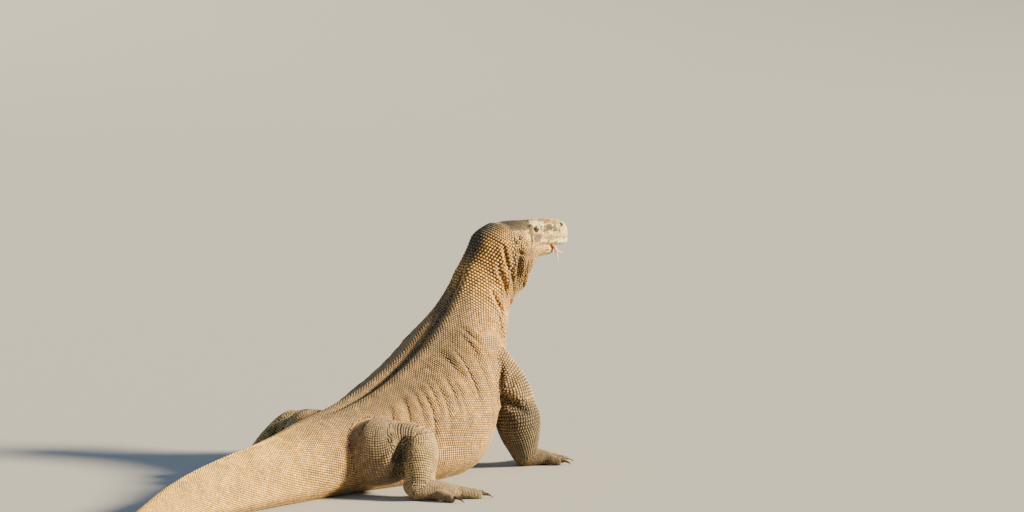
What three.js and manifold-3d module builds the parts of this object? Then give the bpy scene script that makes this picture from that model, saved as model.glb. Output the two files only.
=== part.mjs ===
// A life-size komodo dragon, sitting up on its forelegs with its belly, hips and tail on the floor.
// Millimetres. +X is forward, +Y is the animal's left and +Z is up. The floor is z = 0.
import * as THREE from "three";
import { LoftGeometry } from "three/addons/geometries/LoftGeometry.js";
import { mergeVertices } from "three/addons/utils/BufferGeometryUtils.js";
import Module from "manifold-3d";

const wasm = await Module();
wasm.setup();

// ---------------------------------------------------------------- driving sizes
const GAP = 0.3; // space left between two neighbouring pieces
const LIMB_SIDES = 12;
const LIMB_RING_STEP = 36;
const HEAD_SIDES = 18;
const SOLE_SIDES = 10;
const TOE_SIDES = 6;
const CLAW_SIDES = 5;
const TONGUE_SIDES = 6;
const TONGUE_RING_STEP = 7;

const TAIL_LENGTH = 1310; // vent to tip, along the tail
const VENT_X = -60;
const HEAD_LENGTH = 206; // nape to snout tip
const HEAD_BACK_X = 600;
const EYE_RADIUS = 8.5;
const TOE_RADIUS = 12.5;

const CLAW_LENGTH = 27;
const CLAW_GAP = 0.8; // from the blunt end of the toe, which is not quite upright
const CLAW_THICK = 5.2; // half of its depth at the root
const CLAW_TIP_THICK = 0.7;
const CLAW_ROOT_HEIGHT = 11.8;
const CLAW_TIP_HEIGHT = 1.2;
const CLAW_LEVEL = 0.25; // share of its length that runs level

// Where the body turns seen from above, in degrees: positive is to the left, going forward.
const NECK_TURN = { from: 430, to: 620, degrees: -24 };
const TAIL_TURNS = [
  { from: -380, to: -800, degrees: 24 },
  { from: -800, to: -1300, degrees: -52 },
];

// ---------------------------------------------------------------- small maths
const rad = THREE.MathUtils.degToRad;
const vec = (x, y, z) => new THREE.Vector3(x, y, z);
const signedPower = (value, power) => Math.sign(value) * Math.abs(value) ** power;

// A row of numbers on a smooth curve through the rows, at place s (0 is the first row, 1 the next).
function rowAt(rows, s) {
  const i = Math.min(Math.max(Math.floor(s), 0), rows.length - 2);
  const t = s - i;
  const before = rows[Math.max(i - 1, 0)];
  const after = rows[Math.min(i + 2, rows.length - 1)];
  return rows[i].map((a, k) => {
    const b = rows[i + 1][k];
    const startSlope = (b - before[k]) / 2;
    const endSlope = (after[k] - a) / 2;
    const t2 = t * t;
    const t3 = t2 * t;
    return (
      a * (2 * t3 - 3 * t2 + 1) + startSlope * (t3 - 2 * t2 + t) +
      b * (3 * t2 - 2 * t3) + endSlope * (t3 - t2)
    );
  });
}

// A closed outline of the given half sizes: power 2 is an ellipse, more is squarer.
// sag above 0 makes the lower half wider than the upper one.
function outline(sides, half, up, down, power, sag) {
  return Array.from({ length: sides }, (_, i) => {
    const angle = (i / sides) * 2 * Math.PI;
    const across = signedPower(Math.cos(angle), 2 / power);
    const height = signedPower(Math.sin(angle), 2 / power);
    return [half * across * (1 - sag * Math.sin(angle)), (height > 0 ? up : down) * height];
  });
}

// ---------------------------------------------------------------- solids and meshes
function solid(geometry) {
  const bare = new THREE.BufferGeometry().copy(geometry);
  bare.deleteAttribute("normal");
  bare.deleteAttribute("uv");
  const merged = mergeVertices(bare, 1e-3);
  return new wasm.Manifold(
    new wasm.Mesh({
      numProp: 3,
      vertProperties: merged.attributes.position.array,
      triVerts: new Uint32Array(merged.index.array),
    }),
  );
}

// Cutting can leave a sliver beside the piece itself, so only the largest body is kept.
function largestBody(made) {
  const bodies = made.decompose();
  return bodies.reduce((best, body) => (body.volume() > best.volume() ? body : best), bodies[0]);
}

const COLOUR = {
  sand: 0xb79b6b,
  grey: 0x8b7a5c,
  face: 0xd9cda0,
  claw: 0x3b332b,
  tongue: 0xc99a9a,
  eye: 0x1c1511,
};
const dragon = new THREE.Group();

function addNode(name, made, colour, roughness = 0.85) {
  const mesh = largestBody(made).getMesh();
  const geometry = new THREE.BufferGeometry();
  geometry.setAttribute("position", new THREE.BufferAttribute(new Float32Array(mesh.vertProperties), 3));
  geometry.setIndex(new THREE.BufferAttribute(new Uint32Array(mesh.triVerts), 1));
  geometry.computeVertexNormals();
  const material = new THREE.MeshStandardMaterial({ color: colour, roughness, metalness: 0 });
  const node = new THREE.Mesh(geometry, material);
  node.name = name;
  dragon.add(node);
}

const loft = (rings) => solid(new LoftGeometry(rings, { capStart: true, capEnd: true }));

// ---------------------------------------------------------------- the bend seen from above
// The body is drawn straight along +X, and each section is then carried to its place on a curve
// that turns the neck to the right and lays the tail in a slow S.
function headingAt(x) {
  const turned = ({ from, to, degrees }) =>
    THREE.MathUtils.smoothstep((x - from) / (to - from), 0, 1) * degrees;
  return rad([NECK_TURN, ...TAIL_TURNS].reduce((sum, turn) => sum + turned(turn), 0));
}

const BEND_STEP = 5;
function bendAt(x) {
  const steps = Math.max(1, Math.ceil(Math.abs(x) / BEND_STEP));
  const length = x / steps;
  let px = 0;
  let py = 0;
  for (let i = 0; i < steps; i += 1) {
    const heading = headingAt((i + 0.5) * length);
    px += Math.cos(heading) * length;
    py += Math.sin(heading) * length;
  }
  return { x: px, y: py, heading: headingAt(x) };
}

// Carries a point given beside the place x of the straight body.
function bent(x, ahead, left, z) {
  const place = bendAt(x);
  const c = Math.cos(place.heading);
  const s = Math.sin(place.heading);
  return vec(place.x + ahead * c - left * s, place.y + ahead * s + left * c, z);
}

// ---------------------------------------------------------------- body, from tail tip to head
// Each row: place of the back line (x, z), of the belly line (x, z), half width,
// squareness and sag. A belly line below the floor gives the flat that the body rests on.
const TAIL_TIP_X = VENT_X - TAIL_LENGTH;
const BODY = [
  [TAIL_TIP_X, 9, TAIL_TIP_X, 1, 4, 2, 0],
  [-1240, 25, -1240, -1, 9, 2, 0],
  [-1060, 46, -1060, -2, 16, 2, 0],
  [-880, 68, -880, -3, 24, 2, 0],
  [-700, 90, -700, -4, 35, 2, 0.04],
  [-540, 113, -540, -5, 48, 2, 0.06],
  [-400, 134, -400, -6, 61, 2.1, 0.08],
  [-270, 154, -270, -7, 76, 2.1, 0.1],
  [-145, 180, -150, -8, 92, 2.2, 0.1],
  [-20, 200, -25, -10, 116, 2.2, 0.12],
  [95, 228, 125, -14, 156, 2.2, 0.14],
  [195, 268, 272, -16, 180, 2.2, 0.16],
  [275, 310, 401, 0, 173, 2.2, 0.12],
  [338, 354, 496, 108, 150, 2.2, 0.06],
  [395, 396, 554, 226, 118, 2.2, 0],
  [442, 442, 598, 316, 88, 2.1, 0],
  [481, 491, 617, 390, 76, 2.1, -0.04],
  [513, 545, 664, 450, 74, 2.1, -0.08],
  [540, 597, 693, 490, 71, 2.1, -0.1],
  [584, 624, 706, 526, 61, 2.2, -0.05],
];

function bodyRing(s, sides, grow = 0, nudge = 0) {
  const [backX, backZ, bellyX, bellyZ, half, power, sag] = rowAt(BODY, s);
  const midX = (backX + bellyX) / 2;
  const midZ = (backZ + bellyZ) / 2;
  const tall = Math.hypot(backX - bellyX, backZ - bellyZ) / 2;
  const upX = (backX - bellyX) / (2 * tall);
  const upZ = (backZ - bellyZ) / (2 * tall);
  const floor = (nudge * upX - midZ) / upZ;
  return outline(sides, half + grow, tall + grow, tall + grow, power, sag).map(([across, height]) => {
    const v = Math.max(height, floor - grow);
    return bent(midX, v * upX + nudge * upZ, across, midZ + v * upZ - nudge * upX);
  });
}

// Each length of the body: the rows it lies between, sides of its sections, space between them.
const LENGTHS = {
  tail_tip: [0, 3, 12, 60],
  tail_end: [3, 5, 16, 55],
  tail_middle: [5, 7, 20, 50],
  tail_base: [7, 8.7, 24, 45],
  pelvis: [8.7, 10.2, 24, 46],
  abdomen: [10.2, 12.5, 24, 44],
  chest: [12.5, 15, 24, 44],
  neck_lower: [15, 17.2, 22, 36],
  neck_upper: [17.2, 19, 22, 34],
};

function bodyLength(name, grow, endGap) {
  const [from, to, sides, spacing] = LENGTHS[name];
  const backPoint = (s) => bodyRing(s, 4)[1];
  const places = [from];
  let last = backPoint(from);
  for (let s = from; s < to - 0.15; s += 0.02) {
    if (backPoint(s).distanceTo(last) > spacing) {
      places.push(s);
      last = backPoint(s);
    }
  }
  places.push(to);
  const end = places.length - 1;
  const nudge = (i) => (i === 0 ? endGap : i === end ? -endGap : 0);
  return loft(places.map((s, i) => bodyRing(s, sides, grow, nudge(i))));
}

// Neighbouring lengths made larger by the gap, to cut limbs and head back with.
function grownLengths(...names) {
  return names.map((name) => bodyLength(name, GAP, -GAP)).reduce((joined, next) => joined.add(next));
}

Object.keys(LENGTHS).forEach((name) => addNode(name, bodyLength(name, 0, GAP / 2), COLOUR.sand));
const grownTrunk = grownLengths("tail_base", "pelvis", "abdomen", "chest", "neck_lower");
const grownNeck = grownLengths("neck_lower", "neck_upper");

// ---------------------------------------------------------------- head
// Each row: distance ahead of the nape, half width, top, bottom, squareness.
const HEAD = [
  [-28, 46, 610, 548, 2.2],
  [8, 54, 622, 533, 2.3],
  [40, 60, 625, 527, 2.4],
  [66, 56, 625, 536, 2.5],
  [88, 48, 626, 552, 2.5],
  [110, 43, 627, 558, 2.5],
  [132, 39, 627, 560, 2.5],
  [154, 36, 627, 561, 2.5],
  [174, 33, 625, 562, 2.5],
  [190, 28, 619, 561, 2.4],
  [200, 20, 610, 565, 2.3],
  [HEAD_LENGTH, 8, 599, 575, 2.2],
];
const JAW = [
  [18, 46, 548, 522, 2.2],
  [50, 52, 548, 517, 2.3],
  [82, 47, 551, 518, 2.3],
  [110, 41, 555, 522, 2.3],
  [135, 34, 556, 529, 2.3],
  [156, 27, 556, 539, 2.3],
  [172, 18, 556.5, 547, 2.2],
  [181, 7, 556.5, 551.5, 2.2],
];
function headRing([ahead, half, top, bottom, power], grow, sag) {
  const mid = (top + bottom) / 2;
  const tall = (top - bottom) / 2 + grow;
  return outline(HEAD_SIDES, half + grow, tall, tall, power, sag).map(([across, height]) =>
    headPoint(ahead, across, mid + height),
  );
}

// The head is carried as one stiff piece from the place where the neck's turn ends.
function headPoint(ahead, left, z) {
  return bent(HEAD_BACK_X, ahead, left, z);
}

const HEAD_SAG = 0.1;
const JAW_SAG = -0.05;
const headLoft = (rows, grow, sag) => loft(rows.map((row) => headRing(row, grow, sag)));

const EYE_PLACE = { ahead: 87, left: 40.5, z: 602 };
const eyeBall = (side, radius) => {
  const centre = headPoint(EYE_PLACE.ahead, side * EYE_PLACE.left, EYE_PLACE.z);
  return solid(new THREE.SphereGeometry(radius, 12, 8)).translate([centre.x, centre.y, centre.z]);
};
const skull = headLoft(HEAD, 0, HEAD_SAG);
const grownSkull = headLoft(HEAD, GAP, HEAD_SAG);
const sockets = eyeBall(1, EYE_RADIUS + GAP).add(eyeBall(-1, EYE_RADIUS + GAP));
addNode("head", skull.subtract(grownNeck).subtract(sockets), COLOUR.face);
addNode("eye_left", eyeBall(1, EYE_RADIUS), COLOUR.eye, 0.2);
addNode("eye_right", eyeBall(-1, EYE_RADIUS), COLOUR.eye, 0.2);

// ---------------------------------------------------------------- limbs
// Limb rows are place forward, place outward from the middle line, height, half width and half
// depth. The half width lies as near as it can to the direction across, and a sole that would
// reach below the floor is flat there. side is 1 for the left limb and -1 for the right one.
const FORWARD = vec(1, 0, 0);
const OUTWARD = vec(0, 1, 0);

function tubeRing(rows, s, across, sides, grow, place) {
  const [x, y, z, wide, deep] = rowAt(rows, s);
  const step = 0.02;
  const next = rowAt(rows, Math.min(s + step, rows.length - 1));
  const previous = rowAt(rows, Math.max(s - step, 0));
  const tangent = vec(next[0] - previous[0], next[1] - previous[1], next[2] - previous[2]).normalize();
  const right = across.clone().addScaledVector(tangent, -across.dot(tangent)).normalize();
  const up = tangent.clone().cross(right);
  const floor = up.z > 0.7 ? -z / up.z : -Infinity;
  return outline(sides, wide + grow, deep + grow, deep + grow, 2.1, 0).map(([u, v]) => {
    const lift = Math.max(v, floor - grow);
    return place(vec(x, y, z).addScaledVector(right, u).addScaledVector(up, lift));
  });
}

// A limb, toe, claw or tongue. Rings are about one step apart, and never fewer than the rows.
function tube(rows, across, sides, step, grow, place, mirrored) {
  let length = 0;
  for (let i = 1; i < rows.length; i += 1) {
    length += vec(...rows[i - 1]).distanceTo(vec(...rows[i]));
  }
  const count = Math.max(rows.length - 1, Math.round(length / step));
  const rings = Array.from({ length: count + 1 }, (_, i) =>
    tubeRing(rows, ((rows.length - 1) * i) / count, across, sides, grow, place),
  );
  if (mirrored) rings.forEach((ring) => ring.reverse());
  return loft(rings);
}

const UPPER_ARM = [
  [428, 46, 298, 34, 44],
  [456, 84, 272, 44, 54],
  [482, 115, 244, 41, 50],
  [498, 137, 212, 41, 48],
  [502, 149, 176, 48, 52],
  [502, 152, 148, 44, 47],
  [502, 153, 128, 20, 20],
];
const FOREARM = [
  [501, 150, 196, 26, 28],
  [502, 152, 168, 48, 50],
  [505, 156, 128, 57, 57],
  [514, 157, 90, 52, 51],
  [528, 157, 52, 41, 40],
  [538, 157, 20, 31, 30],
];
const THIGH_RIGHT = [
  [-24, 45, 108, 72, 62],
  [-12, 90, 102, 85, 82],
  [0, 130, 104, 84, 82],
  [14, 165, 112, 68, 70],
  [24, 193, 126, 52, 54],
  [28, 216, 134, 38, 40],
  [30, 234, 136, 13, 13],
];
const SHANK_RIGHT = [
  [26, 196, 160, 20, 22],
  [27, 204, 141, 38, 42],
  [18, 222, 110, 42, 46],
  [0, 235, 74, 37, 41],
  [-16, 245, 40, 32, 33],
  [-24, 249, 16, 25, 25],
];
const THIGH_LEFT = [
  [-28, 45, 112, 74, 66],
  [-12, 82, 107, 84, 82],
  [16, 118, 107, 76, 78],
  [42, 150, 117, 60, 66],
  [56, 176, 127, 49, 52],
  [62, 196, 132, 37, 39],
  [64, 211, 134, 13, 13],
];
const SHANK_LEFT = [
  [66, 180, 156, 18, 20],
  [54, 190, 141, 37, 41],
  [20, 206, 116, 42, 46],
  [-28, 220, 84, 36, 39],
  [-68, 231, 50, 31, 32],
  [-86, 236, 24, 24, 25],
];

// A foot is drawn along +X from its wrist or ankle, with the outer side on +Y.
const HAND = {
  sole: [
    [-30, 0, 20, 10, 9],
    [-18, 0, 24, 27, 23],
    [8, 0, 25, 36, 26],
    [38, 0, 20, 42, 21],
    [62, 0, 16, 42, 17],
    [76, 0, 14, 35, 13],
    [84, 0, 13, 16, 7],
  ],
  toes: [
    { base: [44, -32], turn: -42, length: 34 },
    { base: [58, -20], turn: -20, length: 46 },
    { base: [62, -2], turn: -2, length: 52 },
    { base: [58, 16], turn: 16, length: 52 },
    { base: [42, 32], turn: 42, length: 40 },
  ],
};
const FOOT = {
  sole: [
    [-34, 0, 20, 10, 9],
    [-22, 0, 25, 26, 24],
    [8, 0, 27, 33, 27],
    [44, 0, 22, 37, 22],
    [76, 0, 17, 38, 18],
    [94, 0, 14, 31, 13],
    [104, 0, 12, 14, 7],
  ],
  toes: [
    { base: [66, -28], turn: -34, length: 40 },
    { base: [78, -17], turn: -15, length: 54 },
    { base: [82, -1], turn: 0, length: 66 },
    { base: [78, 15], turn: 14, length: 72 },
    { base: [34, 26], turn: 48, length: 52 },
  ],
};
function toeRows(length) {
  const radius = TOE_RADIUS;
  return [
    [-12, 0, 14, radius * 0.8, radius * 0.8],
    [length * 0.3, 0, 15, radius, radius],
    [length * 0.62, 0, 11.5, radius * 0.9, radius * 0.9],
    [length * 0.9, 0, 9.8, radius * 0.82, radius * 0.8],
    [length, 0, 9.5, radius * 0.62, radius * 0.66],
  ];
}

// The claw runs on level from the blunt end of the toe, then curves down to a point at the floor.
function clawRows(length) {
  return [0, CLAW_LEVEL, 0.6, 0.85, 1].map((t) => {
    const down = Math.max(0, (t - CLAW_LEVEL) / (1 - CLAW_LEVEL)) ** 2;
    const height = THREE.MathUtils.lerp(CLAW_ROOT_HEIGHT, CLAW_TIP_HEIGHT, down);
    const thick = CLAW_THICK * (1 - t) ** 0.7 + CLAW_TIP_THICK;
    return [length + CLAW_GAP + CLAW_LENGTH * t, 0, height, thick * 0.78, thick];
  });
}

function addFoot(kind, clawName, footName, ankle, turn, side) {
  const heading = rad(turn);
  const inLeg = (point) =>
    vec(
      ankle[0] + point.x * Math.cos(heading) - point.y * Math.sin(heading),
      side * (ankle[1] + point.x * Math.sin(heading) + point.y * Math.cos(heading)),
      point.z,
    );
  const inToe = (toe) => (point) => {
    const angle = rad(toe.turn);
    const x = toe.base[0] + point.x * Math.cos(angle) - point.y * Math.sin(angle);
    const y = toe.base[1] + point.x * Math.sin(angle) + point.y * Math.cos(angle);
    return inLeg(vec(x, y, point.z));
  };
  const mirrored = side < 0;
  const toeAt = (toe, grow) =>
    tube(toeRows(toe.length), OUTWARD, TOE_SIDES, toe.length, grow, inToe(toe), mirrored);
  const whole = (grow) => {
    const sole = tube(kind.sole, OUTWARD, SOLE_SIDES, LIMB_RING_STEP, grow, inLeg, mirrored);
    return kind.toes.reduce((joined, toe) => joined.add(toeAt(toe, grow)), sole);
  };
  kind.toes.forEach((toe, i) => {
    const claw = tube(clawRows(toe.length), OUTWARD, CLAW_SIDES, CLAW_LENGTH, 0, inToe(toe), mirrored);
    addNode(`${clawName}_${i + 1}`, claw, COLOUR.claw, 0.4);
  });
  addNode(footName, whole(0), COLOUR.grey);
  return whole(GAP);
}

function addLeg({ name, upper, lower, foot, rows, kind, ankle, turn, side, across }) {
  const place = (point) => vec(point.x, side * point.y, point.z);
  const part = (limb, direction, grow) =>
    tube(limb, direction, LIMB_SIDES, LIMB_RING_STEP, grow, place, side < 0);
  const grownFoot = addFoot(kind, `claw_${name}`, `${name}_${foot}`, ankle, turn, side);
  const upperLimb = part(rows[0], across, 0).subtract(grownTrunk);
  const lowerLimb = part(rows[1], OUTWARD, 0)
    .subtract(part(rows[0], across, GAP))
    .subtract(grownTrunk)
    .subtract(grownFoot);
  addNode(`${name}_${upper}`, upperLimb.subtract(grownFoot), COLOUR.sand);
  addNode(`${name}_${lower}`, lowerLimb, COLOUR.grey);
}

const foreleg = { upper: "upper_arm", lower: "forearm", foot: "hand", kind: HAND, across: OUTWARD };
const hindleg = { upper: "thigh", lower: "shank", foot: "foot", kind: FOOT, across: FORWARD };
const ARM = [UPPER_ARM, FOREARM];
addLeg({ ...foreleg, name: "fore_right", rows: ARM, ankle: [538, 157], turn: 14, side: -1 });
addLeg({ ...foreleg, name: "fore_left", rows: ARM, ankle: [538, 157], turn: 22, side: 1 });
const RIGHT_LEG = [THIGH_RIGHT, SHANK_RIGHT];
const LEFT_LEG = [THIGH_LEFT, SHANK_LEFT];
addLeg({ ...hindleg, name: "hind_right", rows: RIGHT_LEG, ankle: [-22, 248], turn: 36, side: -1 });
addLeg({ ...hindleg, name: "hind_left", rows: LEFT_LEG, ankle: [-84, 236], turn: 26, side: 1 });

// ---------------------------------------------------------------- lower jaw and tongue
const jaw = headLoft(JAW, 0, JAW_SAG);
const grownJaw = headLoft(JAW, GAP, JAW_SAG);
addNode("lower_jaw", jaw.subtract(grownSkull).subtract(grownNeck), COLOUR.face);

// The tongue comes out over the right lip, hangs down and forks.
const inHead = (point) => headPoint(point.x, point.y, point.z);
const TONGUE_SHAFT = [
  [131, -4, 558.6, 3.4, 1.3],
  [142, -16, 558.9, 3.6, 1.5],
  [148, -26, 557.5, 3.6, 1.8],
  [151, -33, 552.5, 3.5, 2],
  [152, -36, 546, 3.2, 2],
  [153, -37, 540, 2.4, 1.8],
];
const TONGUE_TINES = [
  [
    [153, -37, 544, 1.6, 1.5],
    [155, -38, 534, 1.3, 1.2],
    [157, -39, 523, 0.9, 0.9],
    [159, -39, 513, 0.5, 0.5],
  ],
  [
    [153, -37, 546, 1.6, 1.5],
    [159, -39, 540, 1.3, 1.2],
    [165, -40, 538, 0.9, 0.9],
    [171, -40, 540, 0.5, 0.5],
  ],
];
const tonguePart = (rows) => tube(rows, FORWARD, TONGUE_SIDES, TONGUE_RING_STEP, 0, inHead, false);
const tongueParts = [TONGUE_SHAFT, ...TONGUE_TINES].map(tonguePart);
const tongue = tongueParts.reduce((joined, next) => joined.add(next));
addNode("tongue", tongue.subtract(grownSkull).subtract(grownJaw), COLOUR.tongue, 0.5);

// ---------------------------------------------------------------- origin under the middle of the box
const box = new THREE.Box3().setFromObject(dragon);
dragon.position.set(-(box.min.x + box.max.x) / 2, -(box.min.y + box.max.y) / 2, -box.min.z);

export default dragon;
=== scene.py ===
# %% [markdown]
# # A komodo dragon at life size
# The animal sits up on its forelegs with its belly, hips and tail on the floor, and its head
# turned to its right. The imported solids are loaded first: they fix the place and the size of
# every part. Around them the lesson builds one continuous skin, then tens of thousands of small
# solid scales that lie along the body in rows, as a real monitor's do.

# %% Load the frame
import math
import bmesh
import bpy
import numpy as np
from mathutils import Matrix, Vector
from mathutils.bvhtree import BVHTree
from mathutils.kdtree import KDTree


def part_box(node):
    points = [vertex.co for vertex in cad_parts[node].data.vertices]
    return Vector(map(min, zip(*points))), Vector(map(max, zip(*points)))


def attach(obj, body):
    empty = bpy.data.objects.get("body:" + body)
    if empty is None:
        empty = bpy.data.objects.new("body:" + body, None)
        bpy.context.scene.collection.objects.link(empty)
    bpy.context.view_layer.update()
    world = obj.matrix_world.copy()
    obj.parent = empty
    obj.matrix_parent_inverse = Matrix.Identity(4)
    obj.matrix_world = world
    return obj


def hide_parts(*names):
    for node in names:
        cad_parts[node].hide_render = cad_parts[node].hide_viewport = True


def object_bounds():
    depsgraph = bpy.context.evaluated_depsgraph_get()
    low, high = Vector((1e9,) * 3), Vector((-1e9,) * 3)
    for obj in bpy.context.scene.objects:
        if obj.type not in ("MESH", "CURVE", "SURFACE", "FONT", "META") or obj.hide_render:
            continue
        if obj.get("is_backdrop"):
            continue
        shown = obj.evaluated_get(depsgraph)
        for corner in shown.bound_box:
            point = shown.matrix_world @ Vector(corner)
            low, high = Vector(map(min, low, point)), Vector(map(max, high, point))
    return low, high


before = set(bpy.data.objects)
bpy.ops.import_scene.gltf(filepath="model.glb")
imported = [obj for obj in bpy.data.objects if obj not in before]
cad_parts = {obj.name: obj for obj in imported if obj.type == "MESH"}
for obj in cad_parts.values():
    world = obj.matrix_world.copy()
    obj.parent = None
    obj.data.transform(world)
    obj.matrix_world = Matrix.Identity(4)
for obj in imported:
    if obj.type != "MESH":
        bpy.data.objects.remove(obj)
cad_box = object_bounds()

MM = 0.001
FAR = 1e3  # beyond anything that is measured here, in millimetres
rng = np.random.default_rng(7)
print("nodes in the frame:", len(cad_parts))

# %% [markdown]
# ## Smooth rows
# Every form on the animal is a stack of rounded outlines. A short table of rows gives their
# places and sizes, and a smooth curve through the rows fills in what lies between. Working with
# whole arrays of places at once keeps this quick.

# %% A curve through rows, and a rounded outline
def smooth_rows(rows, places):
    rows, places = np.asarray(rows, float), np.asarray(places, float)
    first = np.clip(np.floor(places).astype(int), 0, len(rows) - 2)
    t = (places - first)[..., None]
    a, b = rows[first], rows[first + 1]
    before = rows[np.maximum(first - 1, 0)]
    after = rows[np.minimum(first + 2, len(rows) - 1)]
    start, end = (b - before) / 2, (after - a) / 2
    return (a * (2 * t**3 - 3 * t**2 + 1) + start * (t**3 - 2 * t**2 + t)
            + b * (3 * t**2 - 2 * t**3) + end * (t**3 - t**2))


def signed_power(value, power):
    return np.sign(value) * np.abs(value) ** power


def smoothstep(x, low, high):
    t = np.clip((x - low) / (high - low), 0, 1)
    return t * t * (3 - 2 * t)


def unit(v):
    return v / np.maximum(np.linalg.norm(v, axis=-1, keepdims=True), 1e-9)


# %% [markdown]
# ## The bend seen from above
# The body is described straight along +X, as if it lay on a ruler, and then carried to its place
# on a curve: the neck turns to the right and the tail lies in a slow S. The curve's heading is a
# sum of three smooth turns, and adding up small steps along it gives the places.

# %% Heading and walk along the curve
NAPE_X = 600.0
WALK = np.arange(-1450.0, 950.0, 1.0)
TURNS = [(-24, 430, 620), (24, -380, -800), (-52, -800, -1300)]  # degrees, from, to


def heading_at(x):
    return np.radians(sum(degrees * smoothstep(x, start, end) for degrees, start, end in TURNS))


middle = heading_at(WALK + 0.5)
walk_x = np.concatenate([[0], np.cumsum(np.cos(middle))[:-1]])
walk_y = np.concatenate([[0], np.cumsum(np.sin(middle))[:-1]])
walk_x -= np.interp(0, WALK, walk_x)
walk_y -= np.interp(0, WALK, walk_y)


def bent(x, ahead, left, z):
    heading = heading_at(x)
    c, s = np.cos(heading), np.sin(heading)
    px = np.interp(x, WALK, walk_x) + ahead * c - left * s
    py = np.interp(x, WALK, walk_y) + ahead * s + left * c
    return np.stack(np.broadcast_arrays(px, py, z), axis=-1)


print("heading at the nape:", round(math.degrees(heading_at(NAPE_X)), 1), "degrees")

# %% [markdown]
# ## Neck, trunk and tail
# Each row holds the place of the back line and of the belly line (forward, up), the half width,
# how square the section is, and how much its lower half sags outwards. A belly line under the
# floor leaves a flat, which is what the animal rests on.

# %% Rows of the body
BODY = [
    (-1370, 9, -1370, 1, 4, 2, 0), (-1240, 25, -1240, -1, 9, 2, 0),
    (-1060, 46, -1060, -2, 16, 2, 0), (-880, 68, -880, -3, 24, 2, 0),
    (-700, 90, -700, -4, 35, 2, 0.04), (-540, 113, -540, -5, 48, 2, 0.06),
    (-400, 134, -400, -6, 61, 2.1, 0.08), (-270, 154, -270, -7, 76, 2.1, 0.1),
    (-145, 180, -150, -8, 92, 2.2, 0.1), (-20, 200, -25, -10, 116, 2.2, 0.12),
    (95, 228, 125, -14, 156, 2.2, 0.14), (195, 268, 272, -16, 180, 2.2, 0.16),
    (275, 310, 401, 0, 173, 2.2, 0.12), (338, 354, 496, 108, 150, 2.2, 0.06),
    (395, 396, 554, 226, 118, 2.2, 0), (442, 442, 598, 316, 88, 2.1, 0),
    (480, 492, 617, 390, 76, 2.1, -0.04), (513, 545, 664, 450, 74, 2.1, -0.08),
    (540, 597, 693, 490, 71, 2.1, -0.1), (584, 624, 706, 526, 61, 2.2, -0.05),
]


def body_at(s, angle):
    back_x, back_z, belly_x, belly_z, half, power, sag = np.moveaxis(smooth_rows(BODY, s), -1, 0)
    tall = np.hypot(back_x - belly_x, back_z - belly_z) / 2
    up_x, up_z = (back_x - belly_x) / (2 * tall), (back_z - belly_z) / (2 * tall)
    mid_x, mid_z = (back_x + belly_x) / 2, (back_z + belly_z) / 2
    across = half * signed_power(np.cos(angle), 2 / power) * (1 - sag * np.sin(angle))
    height = np.maximum(tall * signed_power(np.sin(angle), 2 / power), -mid_z / up_z)
    return bent(mid_x, height * up_x, across, mid_z + height * up_z)


# %% [markdown]
# ## Skull and lower jaw
# The head is carried as one stiff piece from the nape. Its rows run forward: distance ahead of
# the nape, half width, top, bottom and squareness. Both mirror halves are alike.

# %% Rows of the head
SKULL = [
    (-28, 46, 610, 548, 2.2), (8, 54, 622, 533, 2.3), (40, 60, 625, 527, 2.4),
    (66, 56, 625, 536, 2.5), (88, 48, 626, 552, 2.5), (110, 43, 627, 558, 2.5),
    (132, 39, 627, 559, 2.5), (154, 36, 627, 557, 2.5), (174, 33, 625, 556, 2.5),
    (190, 28, 619, 557, 2.4), (200, 20, 611, 563, 2.2), (206, 8, 600, 574, 2.1),
]
JAW = [
    (18, 46, 548, 525, 2.2), (50, 52, 550, 521, 2.3), (82, 47.5, 554, 522.5, 2.3),
    (108, 42.5, 557.5, 525, 2.3), (130, 37, 559.5, 529, 2.3), (148, 30, 555, 533, 2.3),
    (160, 21, 552.5, 538.5, 2.2), (168, 9, 551, 545, 2.2),
]


def head_point(ahead, left, z):
    return bent(NAPE_X, ahead, left, z)


def head_at(rows, sag, lips):
    """Lips is -1 where the mouth is below and 1 where it is above: that half is squarer."""
    def at(s, angle):
        ahead, half, top, bottom, power = np.moveaxis(smooth_rows(rows, s), -1, 0)
        power = power + 1.4 * (lips * np.sin(angle) > 0)
        across = half * signed_power(np.cos(angle), 2 / power) * (1 - sag * np.sin(angle))
        height = (top - bottom) / 2 * signed_power(np.sin(angle), 2 / power)
        return head_point(ahead, across, (top + bottom) / 2 + height)
    return at


# %% [markdown]
# ## Legs, hands and feet
# A limb is a tube: its rows hold the middle of each section, outward on the second number, and a
# half width and half depth. The tube's width is kept as near as it can be to one fixed
# direction, so that it doesn't twist. Feet are drawn along +X from the wrist or ankle and then
# turned to where they stand. Every leg is drawn on the left, and the right ones are flipped.

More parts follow.
